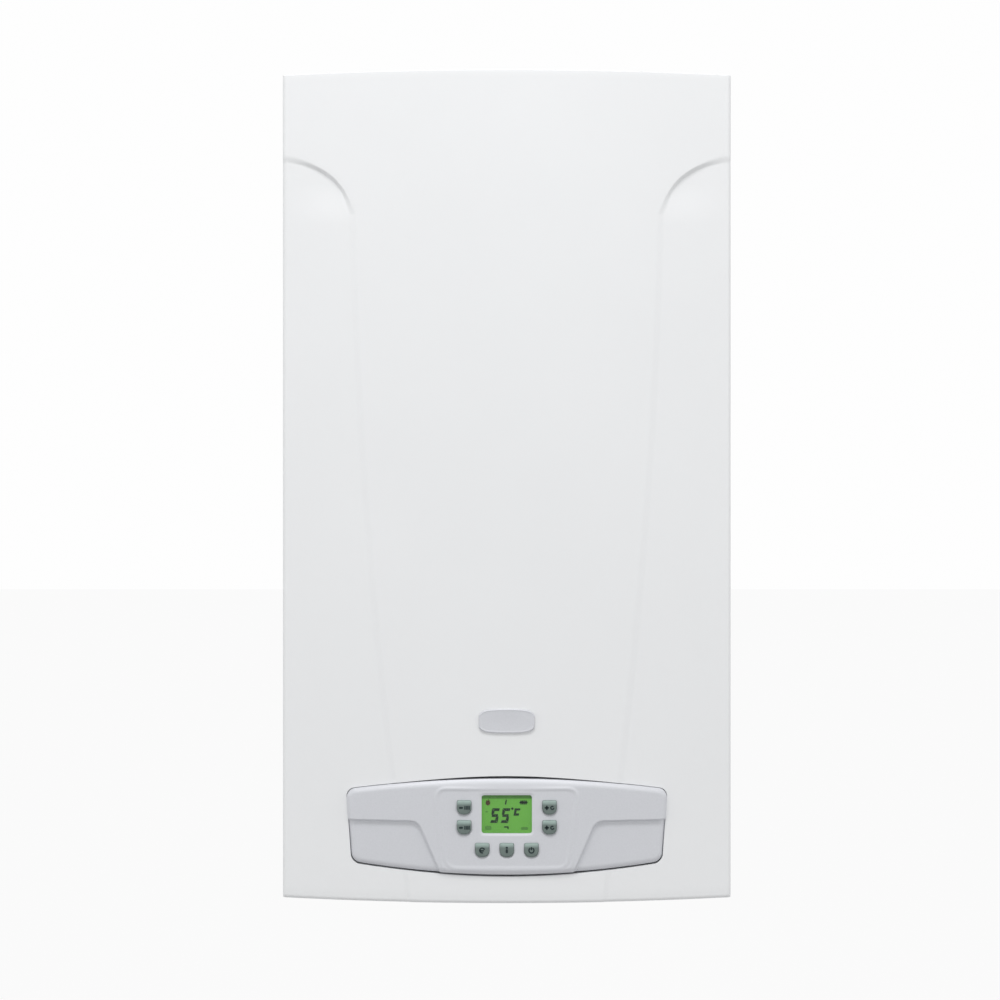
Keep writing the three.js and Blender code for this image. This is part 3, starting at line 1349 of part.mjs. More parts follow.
function pumpImpeller() {
  const at = [PUMP_X, PUMP_Z];
  const wheelFront = PUMP_FRONT + 2;
  const wheel = turned("y", [
    [0, wheelFront],
    [PUMP_WHEEL_RADIUS, wheelFront],
    [PUMP_WHEEL_RADIUS, wheelFront + 2],
    [10, wheelFront + 2],
    [10, wheelFront + 12],
    [0, wheelFront + 12],
  ], at);
  const vanes = Array.from({ length: 6 }, (_, i) => {
    const vane = block([8, PUMP_WHEEL_RADIUS - 1], [wheelFront + 1, wheelFront + 10], [-0.8, 0.8]);
    return vane.rotateY((i * Math.PI) / 3).translate(PUMP_X, 0, PUMP_Z);
  });
  const boreSpan = [wheelFront - THROUGH, wheelFront + 12 - GAP];
  const bore = bar("y", PUMP_SHAFT + GAP, boreSpan, at, COARSE);
  add("pump_impeller", cut(join(wheel, ...vanes), bore), "greyPlastic");
}

function airVent() {
  const base = VENT_BASE + GAP;
  const v = VENT_RADIUS;
  const vent = [
    [0, base],
    [v - 3, base],
    [v - 3, base + 8],
    [v, base + 10],
    [v, base + 46],
    [v - 4, base + 52],
    [4, base + 52],
    [4, base + 60],
    [0, base + 60],
  ];
  add("air_vent", turned("z", vent, [VENT_X, PORT_LINE_Y]), "brass");
}

function diverterMotor() {
  const base = GROUP_TOP + GAP;
  const collar = bar("z", 13, [base, base + 12], [HOT_X, PORT_LINE_Y]);
  const shape = roundedRect(HOT_X, PORT_LINE_Y, DIVERTER_WIDTH, DIVERTER_DEPTH, 8);
  const body = pushed("z", shape, [base + 10, base + 54], 2);
  add("diverter_motor", join(collar, body), "blackPlastic");
}

// A stack of pressed plates, drawn in (y, z), with a notch between each two.
function plateExchanger() {
  const back = -FRAME_SHEET - GAP - 18;
  const front = GROUP_BACK + GAP;
  const [low, high] = [GROUP_BOTTOM + 10, GROUP_BOTTOM + 10 + PLATES_HEIGHT];
  const pitch = (back - front) / PLATE_COUNT;
  const edge = (z, inwards) => {
    const points = [];
    for (let i = 0; i < PLATE_COUNT; i += 1) {
      const y = front + i * pitch;
      points.push([y, z], [y + pitch * 0.6, z]);
      if (i === PLATE_COUNT - 1) continue;
      points.push([y + pitch * 0.65, z + inwards], [y + pitch * 0.95, z + inwards]);
    }
    points[points.length - 1][0] = back;
    return points;
  };
  const section = outline([...edge(low, 2.5), ...edge(high, -2.5).reverse()]);
  add("plate_exchanger", pushed("x", section, [-PLATES_HALF, PLATES_HALF]), "stainless");
}

function heatingPipes() {
  const y = PORT_LINE_Y;
  const end = PORT_END + GAP;
  const outer = RISER_X + 10; // where each pipe turns in to its port
  const bendTop = EXCHANGER_MIDDLE - BELOW_PORTS;
  const bendLow = CHAMBER_BOTTOM - BELOW_CHAMBER;
  const flow = [
    [-end, FIRST_PASS_Y, EXCHANGER_MIDDLE],
    [-outer, FIRST_PASS_Y, EXCHANGER_MIDDLE],
    [-outer, FIRST_PASS_Y, bendTop],
    [-RISER_X, FLOW_RISER_Y, bendTop - RISER_JOG],
    [-RISER_X, FLOW_RISER_Y, bendLow],
    [FLOW_X, y, bendLow - FOOT_JOG],
    [FLOW_X, y, GROUP_TOP + GAP],
  ];
  add("heating_flow_pipe", pipe(flow, PIPE), "copper");
  const back = [
    [PUMP_X, y, PUMP_TOP + GAP],
    [PUMP_X, y, bendLow - RETURN_JOG],
    [RISER_X, y, bendLow],
    [RISER_X, y, bendTop],
    [outer, LAST_PASS_Y, bendTop + RETURN_JOG],
    [outer, LAST_PASS_Y, EXCHANGER_MIDDLE],
    [end, LAST_PASS_Y, EXCHANGER_MIDDLE],
  ];
  add("heating_return_pipe", pipe(back, PIPE), "copper");
}

function gauge() {
  const at = [GAUGE_X, GAUGE_Y];
  const r = GAUGE_RADIUS;
  const rim = PLATE_Z - PLATE_SHEET - GAP;
  const top = rim + GAUGE_DEPTH;
  const profile = [
    [0, rim - 1],
    [r - 2, rim - 1],
    [r - 2, rim - 5],
    [r + 3, rim - 4],
    [r + 3, rim],
    [r, rim],
    [r, top],
    [5, top],
    [5, top + 8],
    [0, top + 8],
  ];
  add("pressure_gauge", turned("z", profile, at), "blackPlastic");
  const z = rim - 1 - GAP;
  const hub = bar("z", 2.5, [z - 1.4, z], at, COARSE);
  const width = [GAUGE_Y - 0.6, GAUGE_Y + 0.6];
  const hand = block([GAUGE_X - 4, GAUGE_X + r - 4], width, [z - 1, z - 0.4]);
  add("gauge_needle", join(hub, hand), "red");
}

// ---------------------------------------------------------------- controls

function bottomRail() {
  const half = COVER_HALF - SHEET - GAP;
  const base = BOTTOM + SHEET + GAP;
  const [front, back] = [COVER_BACK - RAIL_DEPTH, COVER_BACK];
  const foot = block([-half, half], [front, back], [base, base + RAIL_SHEET]);
  const upright = block([-half, half], [back - RAIL_SHEET, back], [base, base + RAIL_HEIGHT]);
  const lugs = [-1, 1].map((sign) => {
    const shape = new THREE.Shape();
    shape.moveTo(back - 1, base);
    shape.lineTo(PIVOT_Y + 3, base);
    shape.absarc(PIVOT_Y, PIVOT_Z, LUG_RADIUS, -Math.PI / 2 + 0.5, Math.PI / 2, true);
    shape.lineTo(back - 1, PIVOT_Z);
    return pushed("x", shape, onSide(sign, LUG_X, LUG_X + LUG_THICKNESS), 5);
  });
  const pinEnds = [LUG_X - GAP - EAR_THICKNESS - 1, LUG_X + LUG_THICKNESS / 2];
  const pins = [-1, 1].map((sign) =>
    bar("x", PIVOT_RADIUS, onSide(sign, ...pinEnds), [PIVOT_Y, PIVOT_Z]));
  add("bottom_rail", join(foot, upright, ...lugs, ...pins), "galvanised");
}

function controlBox() {
  const [h, w] = [BOX_HALF, BOX_WALL];
  const shell = block([-h, h], [BOX_FRONT, BOX_BACK], [BOX_BOTTOM, BOX_TOP]);
  const depth = [BOX_FRONT + w, BOX_BACK + THROUGH];
  const room = block([w - h, h - w], depth, [BOX_BOTTOM + w, BOX_TOP - w]);
  const mouthHeight = [BOARD_LOW + 6, BOARD_HIGH - 6];
  const mouth = block([-MOUTH_HALF, MOUTH_HALF], across(BOX_FRONT), mouthHeight);
  const ears = [-1, 1].map((sign) => {
    const shape = new THREE.Shape();
    shape.moveTo(PIVOT_Y + EAR_RADIUS, BOX_BOTTOM + 1);
    shape.lineTo(PIVOT_Y + EAR_RADIUS, PIVOT_Z);
    shape.absarc(PIVOT_Y, PIVOT_Z, EAR_RADIUS, 0, -Math.PI, true);
    shape.lineTo(BOX_FRONT, BOX_BOTTOM + 1);
    const inner = LUG_X - GAP - EAR_THICKNESS;
    return pushed("x", shape, onSide(sign, inner, inner + EAR_THICKNESS), 5);
  });
  const eyeRadius = PIVOT_RADIUS + PIVOT_CLEARANCE;
  const eyes = [-1, 1].map((sign) =>
    bar("x", eyeRadius, onSide(sign, LUG_X - 20, LUG_X), [PIVOT_Y, PIVOT_Z]));
  add("control_box", cut(join(cut(shell, room, mouth), ...ears), ...eyes), "blackPlastic");

  const seat = BOX_BACK + GAP;
  const lid = block([-h, h], [seat, seat + w], [BOX_BOTTOM, BOX_TOP]);
  const rim = (inset, depth) =>
    block([inset - h, h - inset], depth, [BOX_BOTTOM + inset, BOX_TOP - inset]);
  const inside = rim(w + GAP, [seat - LID_RIM, seat + w / 2]);
  const hollow = rim(2 * w + GAP, [seat - THROUGH, seat]);
  add("control_box_lid", join(lid, cut(inside, hollow)), "blackPlastic");
}

const BUTTONS = {
  button_upper_left: [-BUTTON_COLUMN_X, BUTTON_UPPER_Z],
  button_lower_left: [-BUTTON_COLUMN_X, BUTTON_LOWER_Z],
  button_upper_right: [BUTTON_COLUMN_X, BUTTON_UPPER_Z],
  button_lower_right: [BUTTON_COLUMN_X, BUTTON_LOWER_Z],
  button_bottom_left: [-BUTTON_ROW_X, BUTTON_ROW_Z],
  button_bottom_middle: [0, BUTTON_ROW_Z],
  button_bottom_right: [BUTTON_ROW_X, BUTTON_ROW_Z],
};

// A key with a flat top and a round bottom, in (z, x).
function keyShape([x, z], grow) {
  const [w, h] = [BUTTON_WIDTH / 2 + grow, BUTTON_HEIGHT / 2 + grow];
  const shape = new THREE.Shape();
  shape.moveTo(z + h, x + w - 2);
  shape.quadraticCurveTo(z + h, x + w, z + h - 2, x + w);
  shape.lineTo(z - h * 0.15, x + w);
  shape.quadraticCurveTo(z - h, x + w, z - h, x);
  shape.quadraticCurveTo(z - h, x - w, z - h * 0.15, x - w);
  shape.lineTo(z + h - 2, x - w);
  shape.quadraticCurveTo(z + h, x - w, z + h, x - w + 2);
  return shape;
}

function buttons() {
  const front = -PAD_DEPTH - BUTTON_RISE;
  const stemEnd = SWITCH_FRONT - BUTTON_TRAVEL - GAP;
  Object.entries(BUTTONS).forEach(([name, [x, z]]) => {
    const at = [x, z];
    const farEdge = Math.abs(x) + BUTTON_WIDTH / 2 + BUTTON_LIP;
    const inner = -FASCIA_DEPTH + FASCIA_WALL + bow(farEdge) + GAP;
    const cap = pushed("y", keyShape(at, 0), [front, inner + 1], 2);
    const lip = pushed("y", keyShape(at, BUTTON_LIP), [inner, inner + 1.5], 1);
    const stem = bar("y", BUTTON_STEM, [inner + 1, stemEnd], at, HEX);
    add(name, join(cap, lip, stem), "buttonGrey");
  });
}

function circuitBoard() {
  const back = BOARD_FRONT + BOARD_THICKNESS;
  const board = block([-BOARD_HALF, BOARD_HALF], [BOARD_FRONT, back], [BOARD_LOW, BOARD_HIGH]);
  const rise = (height) => [back - 0.5, back + height];
  const switches = Object.values(BUTTONS).map(([x, z]) =>
    block([x - 3, x + 3], [SWITCH_FRONT, BOARD_FRONT + 0.5], [z - 3, z + 3]));
  const parts = [
    block([10 - BOARD_HALF, 38 - BOARD_HALF], rise(26), [BOARD_LOW + 8, BOARD_LOW + 48]),
    block([52 - BOARD_HALF, 74 - BOARD_HALF], rise(16), [BOARD_LOW + 13, BOARD_LOW + 35]),
    bar("y", 8, rise(24), [92 - BOARD_HALF, BOARD_LOW + 20], COARSE),
    block([BOARD_HALF - 62, BOARD_HALF - 38], rise(15), [BOARD_LOW + 10, BOARD_LOW + 28]),
    block([BOARD_HALF - 34, BOARD_HALF - 10], rise(12), [BOARD_LOW + 38, BOARD_LOW + 70]),
  ];
  add("circuit_board", join(board, ...switches, ...parts), "board");
}

function display() {
  const front = -FASCIA_DEPTH + WINDOW_THICKNESS + GAP;
  const [w, h] = [WINDOW_WIDTH / 2 + 1.5, WINDOW_HEIGHT / 2 + 1.5];
  const frontEdge = front + bow(w) + FASCIA_WALL - WINDOW_THICKNESS;
  const glass = block([-w, w], [frontEdge, BOARD_FRONT - GAP], [WINDOW_Z - h, WINDOW_Z + h]);
  add("display_module", glass, "display");
  const shape = roundedRect(WINDOW_Z, 0, WINDOW_HEIGHT, WINDOW_WIDTH, WINDOW_RADIUS);
  const depth = [-FASCIA_DEPTH, WINDOW_THICKNESS - FASCIA_DEPTH];
  add("display_window", pushed("y", shape, depth, 2), "glass");
}

// The part of the control panel that isn't stepped back: its upper half and the middle.
function raisedRegion() {
  const far = FASCIA_HALF + 30;
  const shape = new THREE.Shape();
  const z = WING_TOP;
  const drop = FASCIA_BOTTOM - 20;
  shape.moveTo(z, far);
  shape.lineTo(z, WING_HALF + WING_SHOULDER);
  shape.quadraticCurveTo(z, WING_HALF - 1, z - WING_SHOULDER, WING_HALF - 4);
  shape.lineTo(drop, WING_HALF_LOW - 2);
  shape.lineTo(drop, 2 - WING_HALF_LOW);
  shape.lineTo(z - WING_SHOULDER, 4 - WING_HALF);
  shape.quadraticCurveTo(z, 1 - WING_HALF, z, -WING_HALF - WING_SHOULDER);
  shape.lineTo(z, -far);
  shape.lineTo(FASCIA_TOP + 20, -far);
  shape.lineTo(FASCIA_TOP + 20, far);
  return pushed("y", shape, [-FASCIA_DEPTH - THROUGH, BOX_FRONT + THROUGH], 4);
}

function padRegion() {
  const [t, b, top, low, r] = [PAD_HALF_TOP, PAD_HALF_BOTTOM, PAD_TOP, PAD_BOTTOM, PAD_RADIUS];
  const lean = (t - b) * (r / (top - low));
  const shape = new THREE.Shape();
  shape.moveTo(top, t - r);
  shape.quadraticCurveTo(top, t, top - r, t - lean);
  shape.lineTo(low + r, b + lean);
  shape.quadraticCurveTo(low, b, low, b - r);
  shape.lineTo(low, r - b);
  shape.quadraticCurveTo(low, -b, low + r, -b - lean);
  shape.lineTo(top - r, lean - t);
  shape.quadraticCurveTo(top, -t, top, r - t);
  return pushed("y", shape, [-PAD_DEPTH - THROUGH, THROUGH - FASCIA_DEPTH], 4);
}

function fascia() {
  const back = BOX_FRONT - GAP;
  const upper = common(fasciaSlab(FASCIA_DEPTH, back, 0, FASCIA_BEVEL), raisedRegion());
  const lower = fasciaSlab(FASCIA_DEPTH - WING_STEP, back, 0, FASCIA_BEVEL);
  const pad = common(fasciaSlab(PAD_DEPTH, back, 0, FASCIA_BEVEL), padRegion());
  const depth = FASCIA_DEPTH - FASCIA_WALL;
  const open = back + THROUGH;
  const room = fasciaSlab(depth - WING_STEP, open, -FASCIA_WALL, FASCIA_BEVEL);
  const side = PAD_HALF_BOTTOM + FASCIA_WALL;
  const pocket = block([-side, side], [-FASCIA_DEPTH - THROUGH, open], [PAD_BOTTOM, PAD_TOP]);
  const padRoom = common(fasciaSlab(depth, open, -FASCIA_WALL, FASCIA_BEVEL), pocket);
  const depths = [-PAD_DEPTH - THROUGH, open];
  const opening = [WINDOW_HEIGHT + 2 * GAP, WINDOW_WIDTH + 2 * GAP];
  const window = pushed("y", roundedRect(WINDOW_Z, 0, ...opening, WINDOW_RADIUS + GAP), depths, 2);
  const keys = Object.values(BUTTONS).map((at) => pushed("y", keyShape(at, GAP), depths, 2));
  add("fascia", cut(join(upper, lower, pad), room, padRoom, window, ...keys), "silverPlastic");
}

// ---------------------------------------------------------------- assembly

frontCover();
badge();
sidePanels();
backFrame();
connectionPlate();
airBox();
airBoxLid();
flueCollar();
airPortCover();
fanHousing();
fanMotor();
fanImpeller();
flueHood();
pressureSwitch();
burner();
burnerManifold();
hearth();
electrode("spark_electrode", -ELECTRODE_X);
electrode("flame_electrode", ELECTRODE_X);
heatExchanger();
gasSide();
vessel();
groups();
safetyValve();
fillTapKnob();
pumpHousing();
pumpMotor();
pumpImpeller();
airVent();
diverterMotor();
plateExchanger();
heatingPipes();
gauge();
bottomRail();
controlBox();
buttons();
circuitBoard();
display();
fascia();

export default boiler;
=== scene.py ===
"""Looks of a wall-hung combination boiler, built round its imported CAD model.

Metres; +X is right as seen from the front, the front faces -Y, +Z is up. The wall is the plane y = 0.
"""

import json
import math

import bmesh
import bpy
import numpy as np
from mathutils import Matrix, Vector

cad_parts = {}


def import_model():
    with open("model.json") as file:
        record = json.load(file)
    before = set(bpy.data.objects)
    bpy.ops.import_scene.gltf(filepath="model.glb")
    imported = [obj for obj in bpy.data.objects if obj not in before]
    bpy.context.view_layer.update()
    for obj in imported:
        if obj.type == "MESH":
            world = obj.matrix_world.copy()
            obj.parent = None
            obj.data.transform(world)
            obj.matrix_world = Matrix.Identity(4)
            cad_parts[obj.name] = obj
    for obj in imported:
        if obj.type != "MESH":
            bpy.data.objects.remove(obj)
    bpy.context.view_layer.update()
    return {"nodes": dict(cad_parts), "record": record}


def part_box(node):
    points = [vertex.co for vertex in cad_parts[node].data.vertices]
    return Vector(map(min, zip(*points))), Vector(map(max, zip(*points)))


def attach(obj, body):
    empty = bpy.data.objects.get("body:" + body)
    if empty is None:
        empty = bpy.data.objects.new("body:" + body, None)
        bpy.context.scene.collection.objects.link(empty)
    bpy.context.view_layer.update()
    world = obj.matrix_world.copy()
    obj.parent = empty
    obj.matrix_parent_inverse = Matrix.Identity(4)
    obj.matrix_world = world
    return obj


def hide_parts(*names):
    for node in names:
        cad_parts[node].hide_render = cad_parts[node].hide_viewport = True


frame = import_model()

MM = 0.001
SMOOTH_ANGLE = 35  # degrees; a sharper edge stays an edge

# ---------------------------------------------------------------- sizes

# Front cover
COVER_LOW, COVER_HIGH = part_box("front_cover")
HALF = COVER_HIGH.x
CROWN = COVER_LOW.y
COVER_TOP, COVER_BOTTOM, COVER_BACK = COVER_HIGH.z, COVER_LOW.z, COVER_HIGH.y
COVER_SHEET = 1 * MM
BOW = 28 * MM  # the crown stands this far ahead of the side edges
BOW_RADIUS = (HALF**2 + BOW**2) / (2 * BOW)
SIDE_ROUND = 5 * MM
TOP_ROUND = 0.8 * MM
BOTTOM_ROUND = 3.6 * MM
PANEL_HALVES = (135.7 * MM, 124.7 * MM, 85.5 * MM)  # half widths at the shoulders, middle and bottom
SHOULDER_START = 240 * MM  # height at which the panel's edge turns outwards
SHOULDER_END = 291 * MM  # height at which it reaches the cover's side
SHOULDER_STEP, SHOULDER_WIDTH = 3.2 * MM, 3.4 * MM
SHOULDER_FOOT, SHOULDER_FADE = 232 * MM, 36 * MM  # the tall step starts here and grows over this height
SIDE_FADE = 42 * MM  # and dies away over this width before the cover's side
WAIST_STEP, WAIST_WIDTH = 1.2 * MM, 7 * MM
CUTTER_MARGIN = 20 * MM
RIM_DEPTH, RIM_SHEET = 7 * MM, 0.5 * MM

# Control panel
FASCIA_LOW, FASCIA_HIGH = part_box("fascia")
FASCIA_BACK = FASCIA_HIGH.y
FASCIA_HALF = FASCIA_HIGH.x
FASCIA_TOP, FASCIA_BOTTOM = FASCIA_HIGH.z - 2.4 * MM, FASCIA_LOW.z - 0.8 * MM
RIDGE_RISE = 0.8 * MM
FASCIA_CROWN = FASCIA_LOW.y + RIDGE_RISE
FASCIA_TOP_DROP = 11 * MM
FASCIA_BOTTOM_RISE = 9.3 * MM
FASCIA_SLANT = 6 * MM
FASCIA_CORNER = 7 * MM
ROLL_DEPTH = 2.5 * MM  # the upper edge rolls back over a wider band at the middle than at its ends
ROLL_MIDDLE, ROLL_ENDS = 7.5 * MM, 4.6 * MM
LOWER_ROUND = 5.5 * MM
FASCIA_WALL = 2 * MM
GAP_MIDDLE, GAP_ENDS = 2.4 * MM, 0.6 * MM  # the joint with the cover above the panel
GAP_BELOW, GAP_SWELL = 1.2 * MM, 0.6 * MM  # and below it, where the middle is wider by the swell
WING_STEP, WING_STEP_WIDTH = 3.4 * MM, 2.3 * MM
WING_TOP = -293 * MM
WING_HALF = 79.8 * MM
OUTLINE_MARGIN = 20 * MM  # how far the raised part's outline runs past the panel
WING_HALF_LOW = 49 * MM  # at that margin below the panel's lower edge
PAD_HALF_TOP, PAD_HALF_BOTTOM = 62 * MM, 53 * MM
PAD_TOP, PAD_BOTTOM = -264 * MM, -333.5 * MM
PAD_CORNER = 10 * MM
PAD_BORDER = 4 * MM
PAD_RIDGES = ((0.0, 0.5 * MM, 2.6 * MM), (PAD_BORDER, 0.3 * MM, 2 * MM))  # border, height, half width

# Display and keys
WINDOW_LOW, WINDOW_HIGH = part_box("display_window")
WINDOW_CORNER = 2 * MM
KEYS = [name for name in frame["nodes"] if name.startswith("button_")]
KEY_WIDTH, KEY_HEIGHT = 12.5 * MM, 12.3 * MM
KEY_GAP = 0.2 * MM
KEY_ROUND = 1.5 * MM
KEY_CORNER = 2 * MM
KEY_FACE, KEY_DOME = 0.5 * MM, 0.3 * MM
KEY_DISH, KEY_DISH_WIDTH = 0.8 * MM, 1.6 * MM
WINDOW_DISH, WINDOW_DISH_WIDTH = 0.9 * MM, 2.4 * MM

# Small parts
FIN_COUNT, FIN_HALF_SPAN, FIN_SHEET = 69, 106 * MM, 0.5 * MM
THREAD_PITCH, THREAD_HEIGHT, THREAD_LENGTH = 1.8 * MM, 0.55 * MM, 26 * MM
DIAL_SWEEP = 270  # degrees
DIAL_NUMBERS = 5

# ---------------------------------------------------------------- curves and shapes


def curve(a, b, c, steps=8):
    """Points of a quadratic curve from a to c, without its last point."""
    a, b, c = (np.array(p, float) for p in (a, b, c))
    shares = np.arange(steps)[:, None] / steps
    return [tuple(p) for p in (1 - shares) ** 2 * a + 2 * shares * (1 - shares) * b + shares**2 * c]


def smooth(share):
    """0 to 1 with level ends."""
    share = np.clip(share, 0, 1)
    return share * share * (3 - 2 * share)


def inside(points, polygon):
    """Distance of each (x, z) point to a closed polygon, positive inside it."""
    nearest = np.full(len(points), np.inf)
    odd = np.zeros(len(points), bool)
    corners = np.asarray(polygon, float)
    for p, q in zip(corners, np.roll(corners, -1, axis=0)):
        d = q - p
        if d @ d < 1e-16:
            continue
        share = np.clip(((points - p) @ d) / (d @ d), 0, 1)
        nearest = np.minimum(nearest, np.linalg.norm(points - p - share[:, None] * d, axis=1))
        if p[1] != q[1]:
            crosses = (p[1] > points[:, 1]) != (q[1] > points[:, 1])
            odd ^= crosses & (points[:, 0] < p[0] + (points[:, 1] - p[1]) * d[0] / d[1])
    return np.where(odd, nearest, -nearest)


def rounded_box(low, high, radius, steps=6):
    """A rectangle with round corners, anticlockwise, from its low to its high corner."""
    points = []
    centres = [(high[0] - radius, high[1] - radius), (low[0] + radius, high[1] - radius),
               (low[0] + radius, low[1] + radius), (high[0] - radius, low[1] + radius)]
    for turn, (u, v) in enumerate(centres):
        for k in range(steps + 1):
            a = math.pi / 2 * (turn + k / steps)
            points.append((u + radius * math.cos(a), v + radius * math.sin(a)))
    return points


def grown(polygon, amount):
    """The polygon with each corner moved outwards; the polygon runs anticlockwise."""
    corners = np.asarray(polygon, float)
    before, after = np.roll(corners, 1, axis=0), np.roll(corners, -1, axis=0)
    way = after - before
    way /= np.linalg.norm(way, axis=1)[:, None]
    return [tuple(p) for p in corners + amount * np.stack([way[:, 1], -way[:, 0]], axis=1)]


# ---------------------------------------------------------------- meshes

AXES = {"x": (1, 2, 0), "y": (0, 2, 1), "z": (0, 1, 2)}


def placed(axis, u, v, along):
    """A point from its two coordinates across an axis and the one along it."""
    point = [0.0, 0.0, 0.0]
    first, second, third = AXES[axis]
    point[first], point[second], point[third] = u, v, along
    return tuple(point)


class Shape:
    """Collects faces, and turns them into one Blender object."""

    def __init__(self):
        self.points = []
        self.faces = []
        self.kinds = []
        self.kind = 0

    def add(self, points, faces):
        """Faces between points, which take the present kind as their material."""
        start = len(self.points)
        self.points += [tuple(p) for p in points]
        self.faces += [tuple(start + i for i in face) for face in faces]
        self.kinds += [self.kind] * len(faces)
        return self

    def loft(self, rings, caps=(True, True), closed=True):
        """A skin through rings of points, with a cap at each end that asks for one."""
        size = len(rings[0])
        faces = []
        for row in range(len(rings) - 1):
            for i in range(size if closed else size - 1):
                a, b = row * size + i, row * size + (i + 1) % size
                faces.append((a, b, b + size, a + size))
        if caps[0]:
            faces.append(tuple(range(size))[::-1])
        if caps[1]:
            last = (len(rings) - 1) * size
            faces.append(tuple(last + i for i in range(size)))
        return self.add([p for ring in rings for p in ring], faces)

    def prism(self, axis, polygon, low, high, bevel=0.0):
        """A polygon pushed along an axis, with a bevel at both ends."""
        steps = [(low, 0.0), (high, 0.0)]
        if bevel:
            steps = [(low, -bevel), (low + bevel, 0.0), (high - bevel, 0.0), (high, -bevel)]
        rings = [[placed(axis, u, v, along) for u, v in grown(polygon, grow)] for along, grow in steps]
        return self.loft(rings)

    def turned(self, axis, centre, profile, sides=20):
        """A body turned about an axis; the profile's points are (radius, distance along the axis)."""
        rings = []
        for radius, along in profile:
            turn = [2 * math.pi * k / sides for k in range(sides)]
            rings.append([placed(axis, centre[0] + max(radius, 1e-6) * math.cos(a),
                                 centre[1] + max(radius, 1e-6) * math.sin(a), along) for a in turn])
        return self.loft(rings)

    def box(self, low, high, bevel=0.0):
        """A box from its low to its high corner."""
        corners = [(low[0], low[2]), (high[0], low[2]), (high[0], high[2]), (low[0], high[2])]
        return self.prism("y", corners, low[1], high[1], bevel)

    def hexagon(self, axis, centre, radius, low, high, bevel=0.0):
        """A six-sided bar along an axis."""
        turn = [math.pi / 3 * k for k in range(6)]
        corners = [(centre[0] + radius * math.cos(a), centre[1] + radius * math.sin(a)) for a in turn]
        return self.prism(axis, corners, low, high, bevel)

    def screw(self, axis, centre, radius, seat, way):
        """A hexagon-headed screw on a washer; way is the side it stands out on, 1 or -1."""
        low, high = sorted([seat, seat + way * radius * 0.35])
        self.turned(axis, centre, [(radius * 1.5, low), (radius * 1.5, high)])
        low, high = sorted([seat + way * radius * 0.35, seat + way * radius * 1.1])
        return self.hexagon(axis, centre, radius, low, high, radius * 0.12)

    def thread(self, axis, centre, radius, low, high, pitch, height):
        """A thread's ridge round a stub: a helix with a triangular section."""
        sides = 28
        turns = (high - low) / pitch
        count = int(turns * sides)
        rings = []
        for i in range(count + 1):
            a = 2 * math.pi * i / sides
            along = low + (high - low) * i / count
            fade = min(1.0, i / sides, (count - i) / sides)
            ring = []
            for reach, shift in ((-0.2 * MM, -0.45), (height * fade, 0), (-0.2 * MM, 0.45)):
                u = centre[0] + (radius + reach) * math.cos(a)
                v = centre[1] + (radius + reach) * math.sin(a)
                ring.append(placed(axis, u, v, min(max(along + shift * pitch, low), high)))
            rings.append(ring)
        return self.loft(rings)

    def make(self, name, body, finish, replaces=(), extra=(), angle=SMOOTH_ANGLE):
        """The Blender object: it rides on a body, and takes its finish from a material slot."""
        mesh = bpy.data.meshes.new(name)
        mesh.from_pydata(self.points, [], self.faces)
        mesh.validate()
        piece = bpy.data.objects.new(name, mesh)
        bpy.context.scene.collection.objects.link(piece)
        for slot in (finish, *extra):
            mesh.materials.append(FINISH[slot])
        mesh.polygons.foreach_set("material_index", self.kinds)
        tidy_normals(mesh, angle)
        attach(piece, body)
        if replaces:
            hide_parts(*replaces)
        return piece


def tidy_normals(mesh, angle):
    """Turns the faces outwards and shades them smooth, but for edges sharper than the angle."""
    work = bmesh.new()
    work.from_mesh(mesh)
    bmesh.ops.remove_doubles(work, verts=work.verts, dist=1e-6)
    bmesh.ops.recalc_face_normals(work, faces=work.faces)
    work.to_mesh(mesh)
    work.free()
    mesh.shade_smooth()
    mesh.set_sharp_from_angle(angle=math.radians(angle))


def applied(piece):
    """The piece with its modifiers made part of its mesh."""
    graph = bpy.context.evaluated_depsgraph_get()
    mesh = bpy.data.meshes.new_from_object(piece.evaluated_get(graph))
    piece.modifiers.clear()
    piece.data = mesh
    tidy_normals(mesh, SMOOTH_ANGLE)
    return piece


def thicken(piece, sheet):
    """Gives an open skin a wall on its inner side."""
    wall = piece.modifiers.new("wall", "SOLIDIFY")
    wall.thickness = sheet
    wall.offset = -1
    wall.use_even_offset = True
    return applied(piece)


def carve(piece, polygons, low, high):
    """Cuts openings through a piece along Y, each the outline of a polygon."""
    tool = Shape()
    for polygon in polygons:
        tool.prism("y", polygon, low, high)
    mesh = bpy.data.meshes.new("cutter")
    mesh.from_pydata(tool.points, [], tool.faces)
    tidy_normals(mesh, 30)
    cutter = bpy.data.objects.new("cutter", mesh)
    bpy.context.scene.collection.objects.link(cutter)
    opening = piece.modifiers.new("opening", "BOOLEAN")
    opening.object = cutter
    opening.operation = "DIFFERENCE"
    opening.solver = "MANIFOLD"
    applied(piece)
    bpy.data.objects.remove(cutter)
    return piece


# ---------------------------------------------------------------- finishes

BASE = {m["slot"]: m["base_color"][:3] for m in frame["record"]["materials"]}
SLOT_OF = {part["node"]: part["material_slot"] for part in frame["record"]["subparts"]}


def shade(colour, factor):
    """The colour made lighter or darker, with full alpha."""
    return (*[min(1.0, c * factor) for c in colour], 1.0)


